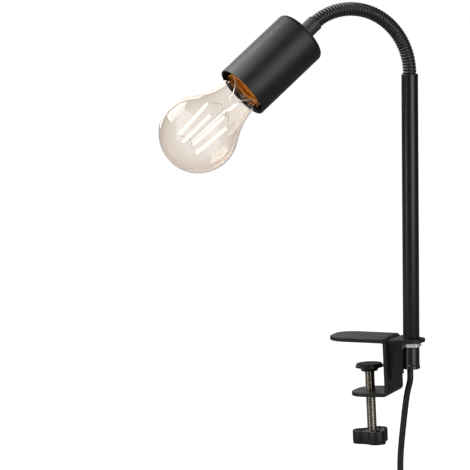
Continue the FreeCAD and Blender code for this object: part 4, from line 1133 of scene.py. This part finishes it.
# The coil's seven turns lie packed in lanes. A turn keeps its lane nearly all the way round, and
# shifts to the next lane under the tie.
row = LANE * math.cos(math.pi / 6)
lanes = [
    (0, -LANE),
    (-row, -LANE / 2),
    (-row, LANE / 2),
    (0, 0),
    (row, -LANE / 2),
    (row, LANE / 2),
    (0, LANE),
]
stretch = 1 / math.cos(math.pi / TURN_POINTS)
for number in range(len(lanes) * TURN_POINTS):
    lap = min(int((number + TURN_POINTS / 4) / TURN_POINTS), len(lanes) - 1)
    into = (number + TURN_POINTS / 4) / TURN_POINTS - lap
    shift = min(max(into * TURN_POINTS / SHIFT_POINTS, 0.0), 1.0) if lap else 1.0
    before = lanes[max(lap - 1, 0)]
    after = lanes[lap]
    out = before[0] + (after[0] - before[0]) * shift
    deep = before[1] + (after[1] - before[1]) * shift
    angle = 2 * math.pi * (number + 0.5) / TURN_POINTS
    reach = (COIL_RADIUS + out) * stretch
    route.append(
        COIL_CENTRE + Vector((reach * math.cos(angle), deep, -reach * math.sin(angle)))
    )
tail_y = COIL_CENTRE.y + LANE
route += [
    Vector((HANG_X, tail_y, -0.216)),
    Vector((HANG_X, tail_y, -0.228)),
    Vector((HANG_X, tail_y, PLUG_TOP + 0.002)),
]
curve = bpy.data.curves.new("lead", "CURVE")
curve.dimensions = "3D"
curve.resolution_u = 6
curve.bevel_depth = LEAD_DIAMETER / 2
curve.bevel_resolution = 5
curve.use_fill_caps = True
spline = curve.splines.new("NURBS")
spline.points.add(len(route) - 1)
for point, spot in zip(spline.points, route):
    point.co = (*spot, 1)
spline.order_u = 3
spline.use_endpoint_u = True
lead = bpy.data.objects.new("mains_lead", curve)
bpy.context.scene.collection.objects.link(lead)
grey_cord = make_finish(
    "dark_grey_cord",
    (0.010, 0.010, 0.0105),
    0.42,
    specular=0.4,
    mottle=(250, 0.12),
    grain=(1800, 0.00003),
)
curve.materials.append(grey_cord)
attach(lead, "stand")
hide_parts("lamp_cord", "cord_lead", "cord_coil", "cord_tail")

TIE_WIDTH = 0.008
TIE_INSIDE = 0.0078
TIE_SHEET = 0.0011
TIE_EDGE = 0.0003
band = turned(
    (
        (TIE_INSIDE, -TIE_WIDTH / 2),
        (TIE_INSIDE + TIE_SHEET, -TIE_WIDTH / 2),
        (TIE_INSIDE + TIE_SHEET, TIE_WIDTH / 2),
        (TIE_INSIDE, TIE_WIDTH / 2),
    )
)
round_edges(band, TIE_EDGE, 3, sharp(50))
bmesh.ops.transform(
    band,
    matrix=Matrix.Translation(COIL_CENTRE + Vector((0, 0, COIL_RADIUS)))
    @ Matrix.Rotation(math.pi / 2, 4, "Y"),
    verts=band.verts,
)
tie_strap = make_finish("woven_tie", (0.02, 0.02, 0.02), 0.8, specular=0.2, grain=(1500, 0.00012))
tie = add_piece("lead_tie", band, "stand", "tie", tie_strap, "cord_tie")

# ---------------------------------------------------------------- switch on the lead
# Two black moulded halves screwed together round the lead, with a rocker in the front half.

refinish(black_plastic, "switch_cover", "switch_base")
refinish(gloss_black, "switch_rocker")
refinish(steel, "switch_screws")
refinish(brass, "switch_contacts")

# ---------------------------------------------------------------- plug
# A flat two-pin plug in soft black plastic, with a ribbed boot that keeps the lead from kinking.

PLUG_LENGTH = 0.036
PLUG_HALF = 0.01765
PLUG_DEPTH = 0.0137
PLUG_SHOULDER = 0.0162
PLUG_CROWN = 0.0072
PLUG_CORNER = 0.004
PLUG_EDGE = 0.0022
PIN_RADIUS = 0.002
PIN_LENGTH = 0.019
PIN_ASIDE = 0.0093
PIN_END = 0.0012
PIN_ROOT = 0.001
SLEEVE_LENGTH = 0.010
SLEEVE_WALL = 0.00005
plug_place = Matrix.Translation((HANG_X, tail_y, PLUG_TOP))

body = extruded(
    (
        (-PLUG_HALF, 0, -PLUG_LENGTH),
        (PLUG_HALF, 0, -PLUG_LENGTH),
        (PLUG_HALF, 0, -PLUG_SHOULDER),
        (PLUG_CROWN, 0, 0),
        (-PLUG_CROWN, 0, 0),
        (-PLUG_HALF, 0, -PLUG_SHOULDER),
    ),
    Vector((0, PLUG_DEPTH, 0)),
    Vector((0, -PLUG_DEPTH / 2, 0)),
)
round_edges(
    body,
    PLUG_CORNER,
    6,
    lambda edge: abs(edge.verts[0].co.y - edge.verts[1].co.y) > 0.01
    and edge.verts[0].co.z > -PLUG_LENGTH + 0.001,
)
round_edges(body, PLUG_EDGE, 5, sharp(50))
bmesh.ops.transform(body, matrix=plug_place, verts=body.verts)
plug = add_piece("plug_moulding", body, "stand", "black_plastic", black_plastic, "plug_body")

BOOT_LENGTH = 0.017
BOOT_RADIUS = 0.0046
BOOT_TAPER = 0.0012
BOOT_TIP = 0.0033
BOOT_HOLE = LEAD_DIAMETER / 2 + 0.0001
BOOT_ROOT = -0.001
RIBS = 5
RIB_DEPTH = 0.0009
outline = [(BOOT_HOLE, BOOT_ROOT), (BOOT_RADIUS, BOOT_ROOT)]
for number in range(RIBS):
    low = BOOT_LENGTH * number / RIBS
    wide = BOOT_RADIUS - BOOT_TAPER * number / RIBS
    outline += [
        (wide, low + 0.0002),
        (wide - 0.0001, low + 0.0022),
        (wide - RIB_DEPTH, low + 0.0025),
        (wide - RIB_DEPTH, low + 0.0032),
    ]
outline += [(BOOT_TIP, BOOT_LENGTH), (BOOT_HOLE, BOOT_LENGTH)]
boot_bm = turned(outline, steps=64)
bmesh.ops.transform(boot_bm, matrix=plug_place, verts=boot_bm.verts)
boot = add_piece("plug_boot", boot_bm, "stand", "black_plastic", black_plastic)

pins = bmesh.new()
sleeves = bmesh.new()
for side in (-1, 1):
    x = HANG_X + side * PIN_ASIDE
    top = Vector((x, tail_y, PLUG_TOP - PLUG_LENGTH + PIN_ROOT))
    pin_end = top - Vector((0, 0, PIN_LENGTH + PIN_ROOT))
    bar(pins, pin_end, top, PIN_RADIUS, 32, PIN_END)
    sleeve_end = top - Vector((0, 0, SLEEVE_LENGTH + PIN_ROOT))
    bar(sleeves, sleeve_end, top, PIN_RADIUS + SLEEVE_WALL, 32)
nickel = make_finish("nickel_plating", (0.62, 0.60, 0.56), 0.2, metallic=1.0, mottle=(300, 0.05))
pin_pair = add_piece("plug_pin_pair", pins, "stand", "steel", nickel, "plug_pins")
pin_sleeves = add_piece("plug_pin_sleeves", sleeves, "stand", "black_plastic", gloss_black)

# ---------------------------------------------------------------- wires in the pole
# Two insulated copper wires that carry the current from the lead to the foot of the neck. They
# are hidden in the pole, and stay as the CAD has them, in a brown insulation.

refinish(
    make_finish("wire_insulation", (0.3, 0.16, 0.07), 0.5, mottle=(150, 0.1)), "pole_wires"
)
